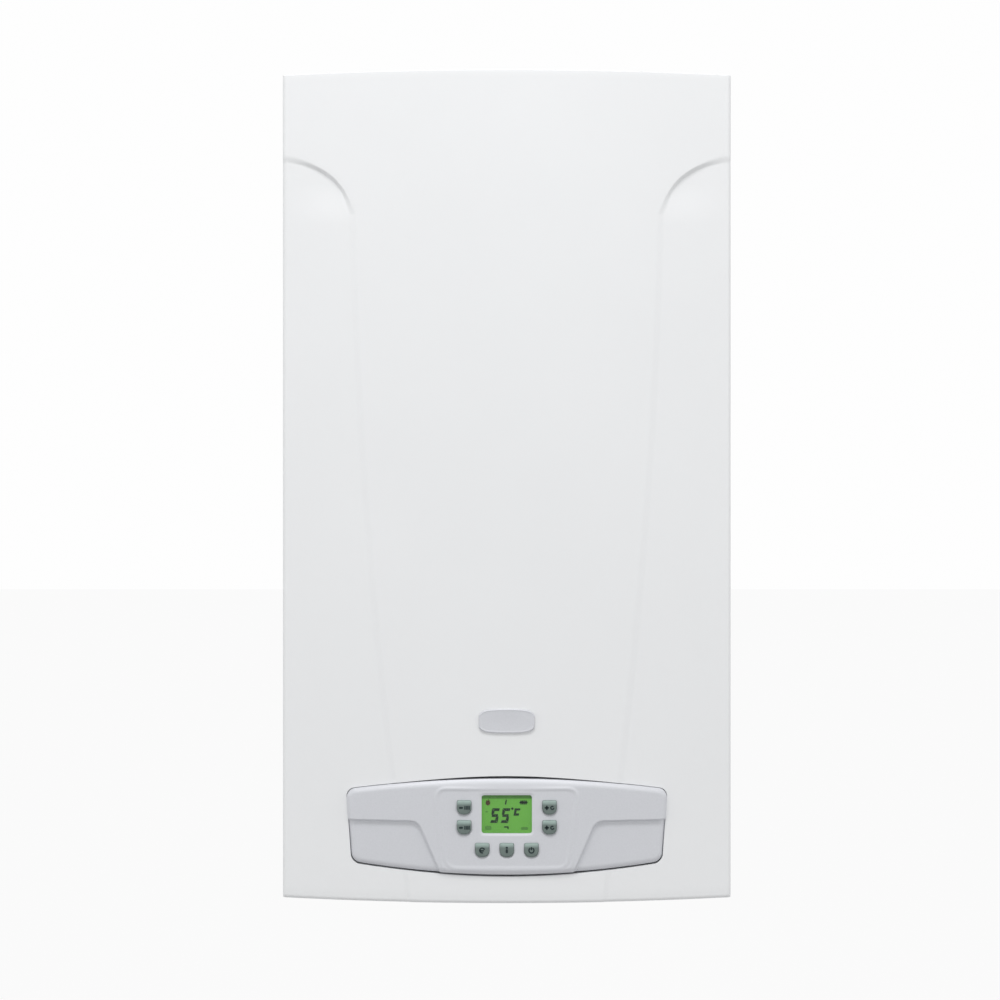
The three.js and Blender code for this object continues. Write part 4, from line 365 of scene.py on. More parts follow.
def surface(slot, roughness, metallic=0.0, vary=0.05, scale=30.0, stretch=(1, 1, 1), grain=0.0,
            grain_scale=1500.0, rough_spread=0.06, cells=0.0, stain=None, tone=1.0, painted_top_highlight=None,
            **constants):
    """A procedural material: clouded colour, uneven roughness and a fine grain in the surface.

    scale and grain_scale are features per metre; cells adds the crystals of hot-dip zinc.
    stain is a second colour that gathers in patches, and its share. tone scales the slot's colour,
    and the top-highlight factor is painted light: it lightens the upper end of each piece, a painted
    highlight as if lit from above. constants are set on the shader's own sockets.
    """
    material = bpy.data.materials.new(slot)
    material.use_nodes = True
    nodes, link = material.node_tree.nodes, material.node_tree.links.new
    shader = nodes["Principled BSDF"]
    place = nodes.new("ShaderNodeTexCoord")
    mapping = nodes.new("ShaderNodeMapping")
    mapping.inputs["Scale"].default_value = stretch
    link(place.outputs["Object"], mapping.inputs["Vector"])

    def noise(at, detail=4.0):
        node = nodes.new("ShaderNodeTexNoise")
        node.inputs["Scale"].default_value = at
        node.inputs["Detail"].default_value = detail
        link(mapping.outputs["Vector"], node.inputs["Vector"])
        return node.outputs["Fac"]

    cloud = noise(scale)
    if cells:
        crystals = nodes.new("ShaderNodeTexVoronoi")
        crystals.inputs["Scale"].default_value = cells
        link(mapping.outputs["Vector"], crystals.inputs["Vector"])
        parts = nodes.new("ShaderNodeSeparateColor")
        link(crystals.outputs["Color"], parts.inputs["Color"])
        cloud = parts.outputs["Red"]
    ramp = nodes.new("ShaderNodeValToRGB")
    low, high = ramp.color_ramp.elements
    low.position, high.position = (0.0, 1.0) if cells else (0.3, 0.7)
    low.color, high.color = shade(BASE[slot], tone * (1 - vary)), shade(BASE[slot], tone * (1 + vary))
    link(cloud, ramp.inputs["Fac"])
    colour = ramp.outputs["Color"]
    if stain:
        patch = nodes.new("ShaderNodeValToRGB")
        patch.color_ramp.elements[0].position = 0.52
        patch.color_ramp.elements[1].position = 0.72
        link(noise(scale * 0.45, 6.0), patch.inputs["Fac"])
        share = nodes.new("ShaderNodeMath")
        share.operation = "MULTIPLY"
        share.inputs[1].default_value = stain[1]
        link(patch.outputs["Color"], share.inputs[0])
        mix = nodes.new("ShaderNodeMix")
        mix.data_type = "RGBA"
        mix.inputs[7].default_value = (*stain[0], 1)
        link(share.outputs["Value"], mix.inputs[0])
        link(colour, mix.inputs[6])
        colour = mix.outputs[2]
    # painted highlight: the upper end of the piece made lighter, standing in for light from above
    if painted_top_highlight:
        split = nodes.new("ShaderNodeSeparateXYZ")
        link(place.outputs["Generated"], split.inputs["Vector"])
        fade = nodes.new("ShaderNodeMapRange")
        fade.interpolation_type = "SMOOTHSTEP"
        fade.inputs["From Min"].default_value, fade.inputs["From Max"].default_value = 0.62, 0.82
        fade.inputs["To Min"].default_value, fade.inputs["To Max"].default_value = 1, painted_top_highlight
        link(split.outputs["Z"], fade.inputs["Value"])
        lighter = nodes.new("ShaderNodeVectorMath")
        lighter.operation = "SCALE"
        link(colour, lighter.inputs[0])
        link(fade.outputs["Result"], lighter.inputs["Scale"])
        colour = lighter.outputs["Vector"]
    link(colour, shader.inputs["Base Color"])

    spread = nodes.new("ShaderNodeMapRange")
    spread.inputs["To Min"].default_value = max(0.02, roughness - rough_spread)
    spread.inputs["To Max"].default_value = min(1.0, roughness + rough_spread)
    link(cloud if cells else noise(scale * 3), spread.inputs["Value"])
    link(spread.outputs["Result"], shader.inputs["Roughness"])
    if grain:
        bump = nodes.new("ShaderNodeBump")
        bump.inputs["Strength"].default_value = grain
        bump.inputs["Distance"].default_value = 0.1 * MM
        link(noise(grain_scale, 3.0), bump.inputs["Height"])
        link(bump.outputs["Normal"], shader.inputs["Normal"])
    shader.inputs["Metallic"].default_value = metallic
    for name, value in constants.items():
        shader.inputs[name.replace("_", " ")].default_value = value
    return material


FINISH = {
    "white_enamel": surface("white_enamel", 0.44, vary=0.006, scale=9, grain=0.05, grain_scale=420,
                            rough_spread=0.04, Specular_IOR_Level=0.3),
    "silver_plastic": surface("silver_plastic", 0.46, metallic=0.1, vary=0.02, scale=700, grain=0.06,
                              grain_scale=2600, tone=1.14, Specular_IOR_Level=0.35),
    "galvanised_steel": surface("galvanised_steel", 0.42, metallic=0.85, vary=0.14, cells=170,
                                rough_spread=0.1, grain=0.05, grain_scale=300),
    "aluminised_steel": surface("aluminised_steel", 0.45, metallic=0.85, vary=0.08, scale=60,
                                stretch=(1, 1, 0.12), grain=0.1, grain_scale=700),
    "stainless_steel": surface("stainless_steel", 0.28, metallic=0.95, vary=0.06, scale=120,
                               stretch=(0.1, 1, 1), grain=0.08, grain_scale=1200),
    "copper": surface("copper", 0.32, metallic=0.95, vary=0.1, scale=25, grain=0.06, grain_scale=500,
                      stain=((0.24, 0.12, 0.08), 0.55)),
    "brass": surface("brass", 0.34, metallic=0.95, vary=0.1, scale=45, grain=0.18, grain_scale=900,
                     stain=((0.4, 0.27, 0.11), 0.4)),
    "cast_aluminium": surface("cast_aluminium", 0.5, metallic=0.85, vary=0.08, scale=70, grain=0.35,
                              grain_scale=1100),
    "black_plastic": surface("black_plastic", 0.5, vary=0.25, scale=90, grain=0.3, grain_scale=1700),
    "grey_plastic": surface("grey_plastic", 0.5, vary=0.08, scale=90, grain=0.25, grain_scale=1700),
    # the keys' upper ends carry a painted highlight
    "button_rubber": surface("button_rubber", 0.55, vary=0.07, scale=260, grain=0.15, grain_scale=2400,
                             tone=0.7, painted_top_highlight=2.1),
    "red_plastic": surface("red_plastic", 0.35, vary=0.1, scale=120, grain=0.08, grain_scale=1500),
    "red_enamel": surface("red_enamel", 0.32, vary=0.07, scale=18, grain=0.12, grain_scale=350,
                          Coat_Weight=0.3, Coat_Roughness=0.15),
    "ceramic_fibre": surface("ceramic_fibre", 0.95, vary=0.09, scale=160, stretch=(1, 1, 0.4), grain=0.9,
                             grain_scale=900, Sheen_Weight=0.2),
    "white_ceramic": surface("white_ceramic", 0.2, vary=0.03, scale=60, Coat_Weight=0.5),
    "clear_lens": surface("clear_lens", 0.06, vary=0.02, scale=40, rough_spread=0.02, Alpha=0.02,
                          IOR=1.49),
    # the display's faint emission is a painted glow that lifts its green
    "green_display": surface("green_display", 0.6, vary=0.07, scale=35, tone=0.92, Specular_IOR_Level=0.15,
                             Emission_Strength=0.06, Emission_Color=(0.14, 0.45, 0.06, 1)),
    "circuit_board": surface("circuit_board", 0.4, vary=0.35, scale=420, stretch=(1, 0.2, 1)),
    "cast_iron": surface("cast_iron", 0.55, metallic=0.3, vary=0.18, scale=60, grain=0.5, grain_scale=800),
}

for name, node in frame["nodes"].items():
    node.data.materials.clear()
    node.data.materials.append(FINISH[SLOT_OF[name]])


def ink(name, colour):
    """A printed or moulded mark's colour, faintly uneven; the display's painted shadow strip takes one
    too.
    """
    BASE[name] = colour
    FINISH[name] = surface(name, 0.5, vary=0.12, scale=900, Specular_IOR_Level=0.15)


ink("mark_dark", (0.008, 0.03, 0.008))
# this green serves the display's printed signs and also its painted shadow strip along the top
ink("green_print_and_painted_shadow", (0.08, 0.25, 0.04))
ink("mark_flame", (0.06, 0.035, 0.012))
ink("key_mark", (0.03, 0.045, 0.045))
ink("dial_white", (0.82, 0.82, 0.8))
ink("dial_black", (0.02, 0.02, 0.02))

# ---------------------------------------------------------------- front cover


def bow(x):
    """How far the bowed face stands behind its crown."""
    return BOW_RADIUS - np.sqrt(BOW_RADIUS**2 - np.asarray(x) ** 2)


def waist(z):
    """Half width of the raised centre panel below its shoulders: a parabola through three widths."""
    top, middle, bottom = PANEL_HALVES
    up = (top - middle) / SHOULDER_START
    down = (bottom - middle) / COVER_BOTTOM
    bend = (up - down) / (SHOULDER_START - COVER_BOTTOM)
    return middle + z * (up + bend * (z - SHOULDER_START))


def panel_edge():
    """Heights and half widths along the raised panel's edge, from the bottom to the cover's side."""
    low = np.linspace(COVER_BOTTOM, SHOULDER_START, 60, endpoint=False)
    start = PANEL_HALVES[0]
    pulls = [(start, SHOULDER_START), (start + 7.3 * MM, SHOULDER_START + 16 * MM),
             (HALF - 54 * MM, SHOULDER_END - 10.5 * MM), (HALF, SHOULDER_END)]
    t = np.linspace(0, 1, 60)
    weights = [(1 - t) ** 3, 3 * t * (1 - t) ** 2, 3 * t * t * (1 - t), t**3]
    half = sum(w * pull[0] for w, pull in zip(weights, pulls))
    height = sum(w * pull[1] for w, pull in zip(weights, pulls))
    return np.append(low, height), np.append(waist(low), half)


EDGE_Z, EDGE_HALF = panel_edge()
EDGE_SLOPE = np.gradient(EDGE_HALF, EDGE_Z)


def shoulder_share(x, z):
    """1 along the shoulders, where the step is tall and crisp; 0 down the waist and at the sides."""
    return smooth((z - SHOULDER_FOOT) / SHOULDER_FADE) * smooth((HALF - np.abs(x)) / SIDE_FADE)


def step_width(x, z):
    """Width of the step beside the raised panel."""
    return WAIST_WIDTH + (SHOULDER_WIDTH - WAIST_WIDTH) * shoulder_share(x, z)


def recess(x, z):
    """Depth of the side recess at a point of the cover's face."""
    half = np.interp(z, EDGE_Z, EDGE_HALF)
    slope = np.interp(z, EDGE_Z, EDGE_SLOPE)
    beyond = np.where(z > SHOULDER_END, (SHOULDER_END - z) * slope, 0)
    outside = (np.abs(x) - half + beyond) / np.hypot(1, slope)
    depth = WAIST_STEP + (SHOULDER_STEP - WAIST_STEP) * shoulder_share(x, z)
    return depth * smooth(outside / step_width(x, z) + 0.5)


def cover_columns(z):
    """Places across one half of the face: even over the panel, close together over the step."""
    half = float(np.interp(z, EDGE_Z, EDGE_HALF))
    spread = float(step_width(half, z)) / 2 * math.hypot(1, float(np.interp(z, EDGE_Z, EDGE_SLOPE)))
    limit = HALF - SIDE_ROUND
    inner = min(half - spread, limit - 8 * MM)
    outer = min(half + spread, limit - 4 * MM)
    return np.concatenate([
        np.linspace(0, inner, 30, endpoint=False),
        np.linspace(inner, outer, 16, endpoint=False),
        np.linspace(outer, limit, 8),
    ])


def cover_shell():
    """The pressed cover: bowed face, side recesses, round edges, and the opening for the panel."""
    rows = list(np.linspace(COVER_BOTTOM + BOTTOM_ROUND, SHOULDER_START - 10 * MM, 70))
    rows += list(np.linspace(SHOULDER_START - 8 * MM, SHOULDER_END + 8 * MM, 76))
    rows += list(np.linspace(SHOULDER_END + 14 * MM, COVER_TOP - TOP_ROUND, 14))
    turns = [math.radians(a) for a in (0, 15, 30, 45, 60, 75, 90)]
    rounding = [(1 - math.sin(a), 1 - math.cos(a)) for a in turns]
    levels = [(COVER_BOTTOM + BOTTOM_ROUND * up, BOTTOM_ROUND * back) for up, back in reversed(rounding)]
    levels += [(z, 0.0) for z in rows[1:-1]]
    levels += [(COVER_TOP - TOP_ROUND * down, TOP_ROUND * back) for down, back in rounding]
    rings = []
    for z, back in levels:
        x = cover_columns(z)
        y = CROWN + bow(x) + recess(x, z) + back
        half = [(float(a), float(b)) for a, b in zip(x, y)]
        edge_x, edge_y = half[-1]
        for a in turns[1:]:
            half.append((edge_x + SIDE_ROUND * math.sin(a), edge_y + SIDE_ROUND * (1 - math.cos(a))))
        half.append((HALF, (half[-1][1] + COVER_BACK) / 2))
        half.append((HALF, COVER_BACK))
        whole = [(-a, b) for a, b in reversed(half[1:])] + half
        rings.append([(a, b, z) for a, b in whole])

    def plate(ring):
        return [(a, COVER_BACK, z) for a, _, z in ring]

    skin = Shape().loft([plate(rings[0]), *rings, plate(rings[-1])], (False, False), closed=False)
    piece = skin.make("cover_shell", "front_cover", "white_enamel", ["front_cover"], angle=40)
    thicken(piece, COVER_SHEET)
    cutout = fascia_outline(joint=True)
    carve(piece, [cutout], CROWN - CUTTER_MARGIN, COVER_BACK - 3 * MM)

    rim = Shape()
    face = [(u, float(CROWN + bow(u) + recess(u, np.array(v)) + 0.1 * MM), v) for u, v in cutout]
    rim.loft([face, [(u, y + RIM_DEPTH, v) for u, y, v in face]], (False, False))
    edge = rim.make("cover_rim", "front_cover", "white_enamel")
    wall = edge.modifiers.new("wall", "SOLIDIFY")
    wall.thickness = RIM_SHEET
    wall.offset = 0
    applied(edge)


# ---------------------------------------------------------------- control panel


def fascia_half(z, grow=0.0):
    """Half width of the panel, which narrows towards its lower edge."""
    fall = (FASCIA_TOP - z) / (FASCIA_TOP - FASCIA_BOTTOM)
    return FASCIA_HALF - FASCIA_SLANT * fall * fall + grow


def fascia_edges(share):
    """Top and bottom of the panel at a share of its half width, with round corners."""
    into = np.maximum(0, FASCIA_CORNER - (1 - np.abs(share)) * FASCIA_HALF)
    corner = FASCIA_CORNER - np.sqrt(np.maximum(0, FASCIA_CORNER**2 - into**2))
    high = FASCIA_TOP - FASCIA_TOP_DROP * share * share - corner
    low = FASCIA_BOTTOM + FASCIA_BOTTOM_RISE * share * share + corner
    return high, low


def fascia_shares(spacing):
    """Columns across the panel as shares of its half width, closer together at the ends."""
    ends = np.array([0, 0.05, 0.2, 0.5, 0.9, 1.4, 2.1, 3, 4.2, 5.6, 7.2]) * MM
    right = 1 - ends / FASCIA_HALF
    middle = np.linspace(0, right[-1], int(FASCIA_HALF / spacing), endpoint=False)
    half = np.concatenate([middle, right[::-1]])
    return np.concatenate([-half[:0:-1], half])


def fascia_outline(joint=False):
    """The panel's outline in (x, z), anticlockwise from the front; with joint, the cover's cutout."""
    shares = fascia_shares(5 * MM)
    high, low = fascia_edges(shares)
    side = 0.0
    if joint:
        swell = (1 - shares**2) ** 4
        high = high + GAP_ENDS + (GAP_MIDDLE - GAP_ENDS) * swell
        low = low - GAP_BELOW - GAP_SWELL * swell
        side = GAP_ENDS
    bottom = [(float(s * fascia_half(z, side)), float(z)) for s, z in zip(shares, low)]
    top = [(float(s * fascia_half(z, side)), float(z)) for s, z in zip(shares, high)]
    return bottom + top[::-1]


def mirrored(right):
    """A closed outline from its right half, which runs from the bottom up."""
    return right + [(-u, v) for u, v in reversed(right)]


def raised_outline():
    """The part of the panel that isn't stepped back: its upper half and the middle."""
    far, low = FASCIA_HALF + OUTLINE_MARGIN, FASCIA_BOTTOM - OUTLINE_MARGIN
    corner = curve((WING_HALF - 4 * MM, WING_TOP - 6 * MM), (WING_HALF - 1 * MM, WING_TOP),
                   (WING_HALF + 6 * MM, WING_TOP))
    return mirrored([(WING_HALF_LOW, low), *corner, (WING_HALF + 6 * MM, WING_TOP),
                     (far, WING_TOP), (far, FASCIA_TOP + OUTLINE_MARGIN)])


def pad_outline(border):
    """The keypad's outline, grown by a border at its sides and bottom."""
    top_half, low_half = PAD_HALF_TOP + border * 0.3, PAD_HALF_BOTTOM + border
    low = PAD_BOTTOM - border * 0.5
    r = PAD_CORNER
    lean = (top_half - low_half) * r / (PAD_TOP - low)
    return mirrored([
        *curve((low_half - r, low), (low_half, low), (low_half + lean, low + r)),
        *curve((top_half - lean, PAD_TOP - r), (top_half, PAD_TOP), (top_half - r, PAD_TOP)),
        (top_half - r, PAD_TOP),
    ])


def key_outline(name, grow=0.0):
    """A key's outline: a flat top with small corners, and a round bottom."""
    low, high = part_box(name)
    u, v = (low.x + high.x) / 2, (low.z + high.z) / 2
    w, h = KEY_WIDTH / 2 + grow, KEY_HEIGHT / 2 + grow
    r = KEY_CORNER
    steps = 7
    roundness = 0.86  # 1 is an ellipse, less is squarer
    right = []
    for k in range(steps * 2 + 1):
        a = math.pi / 2 * k / (steps * 2)
        right.append((u + w * math.sin(a) ** roundness, v - h * math.cos(a) ** roundness))
    right += [*curve((u + w, v + h - r), (u + w, v + h), (u + w - r, v + h), steps), (u + w - r, v + h)]
    return right + [(2 * u - a, b) for a, b in reversed(right[1:])]


def window_outline(grow=0.0):
    """The display window's outline, grown by a gap."""
    low = (WINDOW_LOW.x - grow, WINDOW_LOW.z - grow)
    high = (WINDOW_HIGH.x + grow, WINDOW_HIGH.z + grow)
    return rounded_box(low, high, WINDOW_CORNER + grow)


def fascia_skin():
    """The moulded control panel: bowed, stepped back at its lower wings, with ridges round the keypad."""
    shares = fascia_shares(0.9 * MM)
    border = np.array([0, 0.15, 0.4, 0.8, 1.3, 1.9, 2.6, 3.4]) * MM
    height = FASCIA_TOP - FASCIA_BOTTOM
    middle = np.linspace(4.2 * MM, height - 4.2 * MM, 108)
    t = np.concatenate([border, middle, height - border[::-1]]) / height
    high, low = fascia_edges(shares)
    z = low[None, :] + t[:, None] * (high - low)[None, :]
    x = shares[None, :] * fascia_half(z)
    flat = np.stack([x.ravel(), z.ravel()], axis=1)

    from_edge = np.clip(inside(flat, fascia_outline()), 0, None)
    y = FASCIA_CROWN + bow(flat[:, 0])
    y += WING_STEP * (1 - smooth(0.5 + inside(flat, raised_outline()) / WING_STEP_WIDTH))
    upper = smooth((flat[:, 1] - FASCIA_BOTTOM - 0.3 * height) / (0.4 * height))
    fade = 1 - 0.65 * upper * (1 - smooth(np.abs(flat[:, 0]) / (45 * MM)))
    for grow, rise, reach in PAD_RIDGES:
        y -= fade * rise * np.clip(1 - (inside(flat, pad_outline(grow)) / reach) ** 2, 0, 1) ** 2
    y += WINDOW_DISH * (1 - smooth(-inside(flat, window_outline()) / WINDOW_DISH_WIDTH))
    for name in KEYS:
        low_z, high_z = (corner.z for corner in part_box(name))
        lower = smooth((high_z - flat[:, 1]) / (high_z - low_z) * 1.4 - 0.2)
        outside = -inside(flat, key_outline(name, KEY_GAP))
        y += KEY_DISH * lower * (1 - smooth(outside / KEY_DISH_WIDTH))
    share = flat[:, 0] / FASCIA_HALF
    roll = ROLL_ENDS + (ROLL_MIDDLE - ROLL_ENDS) * (1 - share**2) ** 4
    y += upper * ROLL_DEPTH * np.clip(1 - from_edge / roll, 0, 1) ** 2
    into = np.clip(LOWER_ROUND - from_edge, 0, None)
    y += (1 - upper) * (LOWER_ROUND - np.sqrt(LOWER_ROUND**2 - into**2))

    rows, columns = x.shape
    points = np.stack([flat[:, 0], y, flat[:, 1]], axis=1).reshape(rows, columns, 3)
    grid = Shape()
    grid.loft([[tuple(map(float, p)) for p in row] for row in points], (False, False), closed=False)
    rim = [*points[0], *points[1:-1, -1], *points[-1, ::-1], *points[-2:0:-1, 0]]
    front = [tuple(map(float, p)) for p in rim]
    grid.loft([front, [(u, FASCIA_BACK, w) for u, _, w in front]], (False, False))
    piece = grid.make("fascia_skin", "control_box", "silver_plastic", ["fascia"], angle=50)
    thicken(piece, FASCIA_WALL)
    holes = [window_outline(KEY_GAP), *[key_outline(name, KEY_GAP) for name in KEYS]]
    carve(piece, holes, FASCIA_LOW.y - 10 * MM, FASCIA_BACK + 10 * MM)


# ---------------------------------------------------------------- keys and display


def bar_mark(u, v, width, height):
    """A bar with round ends, as an outline round its middle."""
    low, high = (u - width / 2, v - height / 2), (u + width / 2, v + height / 2)
    return rounded_box(low, high, min(width, height) / 2.2, 3)


def ring_mark(u, v, outer, inner, start=0.0, end=2 * math.pi):
    """A ring, or an arc of one, as an outline."""
    steps = 14
    turn = [start + (end - start) * k / steps for k in range(steps + 1)]
    out = [(u + outer * math.cos(a), v + outer * math.sin(a)) for a in turn]
    back = [(u + inner * math.cos(a), v + inner * math.sin(a)) for a in reversed(turn)]
    return out + back


def key_marks(name, u, v):
    """Generic symbols on the keys, as outlines round the key's middle."""
    if name.endswith("left") and "bottom" not in name:
        return [bar_mark(u - 2.7 * MM, v, 3.6 * MM, 1.8 * MM),
                *[bar_mark(u + (0.7 + 1.3 * k) * MM, v, 0.9 * MM, 3.4 * MM) for k in range(4)]]
    if name.endswith("right") and "bottom" not in name:
        return [bar_mark(u - 2.4 * MM, v, 4 * MM, 1.5 * MM), bar_mark(u - 2.4 * MM, v, 1.5 * MM, 4 * MM),
                ring_mark(u + 2.4 * MM, v, 1.9 * MM, 0.8 * MM, math.pi * 0.25, math.pi * 1.95)]
    if name == "button_bottom_left":
        return [bar_mark(u - 0.3 * MM, v - 0.3 * MM, 3.8 * MM, 1.3 * MM),
                ring_mark(u, v, 2.7 * MM, 1.5 * MM, math.pi * 0.1, math.pi * 1.6)]
    if name == "button_bottom_middle":
        return [bar_mark(u, v - 0.6 * MM, 2 * MM, 3.6 * MM), bar_mark(u, v + 2.4 * MM, 2 * MM, 1.6 * MM)]
    return [ring_mark(u, v, 2.8 * MM, 1.6 * MM, math.pi * 0.65, math.pi * 2.35),
            bar_mark(u, v + 1.6 * MM, 1.2 * MM, 2.8 * MM)]


def key_piece(name):
    """A moulded key: round-edged cap with a crowned face, its retaining lip, its stem and its symbol."""
    low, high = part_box(name)
    u, v = (low.x + high.x) / 2, (low.z + high.z) / 2
    face = low.y + KEY_FACE
    lip_front = float(FASCIA_CROWN + FASCIA_WALL + bow(abs(u) + KEY_WIDTH / 2)) + 1.2 * MM
    levels = [(lip_front, 0.0), (face + KEY_ROUND, 0.0)]
    for degrees in (20, 40, 60, 80):
        a = math.radians(degrees)
        levels.append((face + KEY_ROUND * (1 - math.sin(a)), KEY_ROUND * (math.cos(a) - 1)))
    shape = Shape()
    outline = key_outline(name)
    rings = [[(a, y, b) for a, b in grown(outline, grow)] for y, grow in levels]
    inner = grown(outline, levels[-1][1])
    for share in (0.9, 0.75, 0.6, 0.45, 0.3, 0.15):
        y = face - KEY_DOME * (1 - share**2)
        rings.append([(u + (a - u) * share, y, v + (b - v) * share) for a, b in inner])
    shape.loft(rings)
    shape.prism("y", grown(outline, 1.0 * MM), lip_front, lip_front + 1.5 * MM)
    shape.turned("y", (u, v), [(3 * MM, lip_front + MM), (3 * MM, high.y)])
    shape.kind = 1
    for mark in key_marks(name, u, v):
        shape.prism("y", mark, low.y + 0.05 * MM, low.y + 0.6 * MM)
    shape.make(f"key_{name[7:]}", name, "button_rubber", [name], ["key_mark"])


def slanted(points, base):
    """The points, leaning to the right above their base."""
    return [(u + (v - base) * 0.14, v) for u, v in points]


def five(u, v, width, height, stroke):
    """A seven-segment 5, leaning to the right, from its lower left corner."""
    half = height / 2
    gap = stroke * 0.25
    bars = [
        [(u, v), (u + width, v), (u + width - stroke, v + stroke), (u + gap, v + stroke)],
        [(u + gap, v + half - stroke / 2), (u + width - gap, v + half - stroke / 2),
         (u + width - gap, v + half + stroke / 2), (u + gap, v + half + stroke / 2)],
        [(u + stroke, v + height - stroke), (u + width, v + height - stroke), (u + width, v + height),
         (u, v + height)],
        [(u + width - stroke, v + stroke), (u + width, v + gap), (u + width, v + half - gap),
         (u + width - stroke, v + half - stroke * 0.7)],
        [(u, v + half + gap), (u + stroke, v + half + stroke * 0.7), (u + stroke, v + height - stroke),
         (u, v + height - gap)],
    ]
    return [slanted(points, v) for points in bars]


def display_marks():
    """What the display shows: a temperature, small generic signs round it, and a painted shadow along its
    top.
    """
    low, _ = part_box("display_module")
    glass = low.y
    u0 = (WINDOW_LOW.x + WINDOW_HIGH.x) / 2
    v0 = (WINDOW_LOW.z + WINDOW_HIGH.z) / 2

    def shifted(points):
        return [(u0 + a * MM, v0 + b * MM) for a, b in points]

    def block(left, bottom, right, top, corner):
        low = (u0 + left * MM, v0 + bottom * MM)
        high = (u0 + right * MM, v0 + top * MM)
        return rounded_box(low, high, corner * MM)

    def bar(u, v, width, height):
        return bar_mark(u0 + u * MM, v0 + v * MM, width * MM, height * MM)

    letter = [(6.9, 4.9), (11.9, 4.9), (11.6, 3.0), (8.7, 3.0), (8.2, 0.5), (10.8, 0.5), (10.4, -1.5),
              (5.8, -1.5)]
    drop = [(-16.6, 7.2), (-14.4, 8.4), (-14.6, 10.6), (-16.0, 13.2), (-16.4, 11.4), (-17.6, 12.4),
            (-18.6, 9.8), (-18.2, 8.2)]
    stroke = [(-1.9, 8.2), (-0.5, 8.2), (0.2, 12.4), (-1.0, 12.4)]
    dark = []
    for left in (-14.6, -5.4):
        dark += five(u0 + left * MM, v0 - 7.9 * MM, 6.6 * MM, 12.9 * MM, 2.5 * MM)
    dark.append(ring_mark(u0 + 4.9 * MM, v0 + 4.6 * MM, 1.1 * MM, 0.4 * MM))
    dark.append(shifted(reversed(letter)))
    dark.append(shifted(stroke))
    dark += [bar(12.4 + 1.5 * k, 10.0, 1.1, 3.8) for k in range(4)]
    dark += [bar(14.6, 10.0, 7.4, 1.8), bar(-0.4, -11.4, 4.2, 1.2), bar(1.1, -12.2, 1.2, 2.6)]
    # the last green block is a painted shadow: a darker strip along the display's top, under the window's
    # upper edge; the others are printed signs
    green = [block(-19, -14, -13.4, -10.4, 1.2), block(12.4, -14, 18.6, -11.4, 1.2),
             bar(-17.6, 2, 2.4, 1.4), block(-22, 13.4, 22, 17, 0.4)]
    flame = [shifted(drop)]
    shape = Shape()
    for kind, marks in enumerate((dark, green, flame)):
        shape.kind = kind
        for mark in marks:
            shape.prism("y", mark, glass - 0.12 * MM, glass + 0.05 * MM)
    shape.make("display_marks", "control_box", "mark_dark", (), ["green_print_and_painted_shadow", "mark_flame"])


# ---------------------------------------------------------------- badge


def badge_plate():
    """A bare plate with a soft bevel, on the cover."""
    low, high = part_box("badge")
    w, h = (high.x - low.x) / 2, (high.z - low.z) / 2
    v = (high.z + low.z) / 2
    outline = mirrored([
        (0.0, v - h), *curve((w * 0.2, v - h), (w * 0.72, v - h * 0.98), (w * 0.84, v - h * 0.82)),
        *curve((w * 0.84, v - h * 0.82), (w * 1.04, v - h * 0.6), (w, v - h * 0.3)),
        *curve((w, v + h * 0.3), (w * 1.04, v + h * 0.6), (w * 0.84, v + h * 0.82)),
        *curve((w * 0.84, v + h * 0.82), (w * 0.72, v + h * 0.98), (w * 0.2, v + h)), (0.0, v + h),
    ])
    face = low.y
    levels = [(high.y + 0.3 * MM, 0.0), (face + 0.9 * MM, 0.0), (face + 0.45 * MM, -0.25 * MM),
              (face + 0.15 * MM, -0.7 * MM), (face + 0.1 * MM, -1.1 * MM), (face + 0.35 * MM, -1.5 * MM),
              (face + 0.4 * MM, -2.2 * MM)]
    rings = [[(a, y, b) for a, b in grown(outline, grow)] for y, grow in levels]
    Shape().loft(rings).make("badge_plate", "front_cover", "silver_plastic", ["badge"], angle=60)


# ---------------------------------------------------------------- fasteners and other small parts


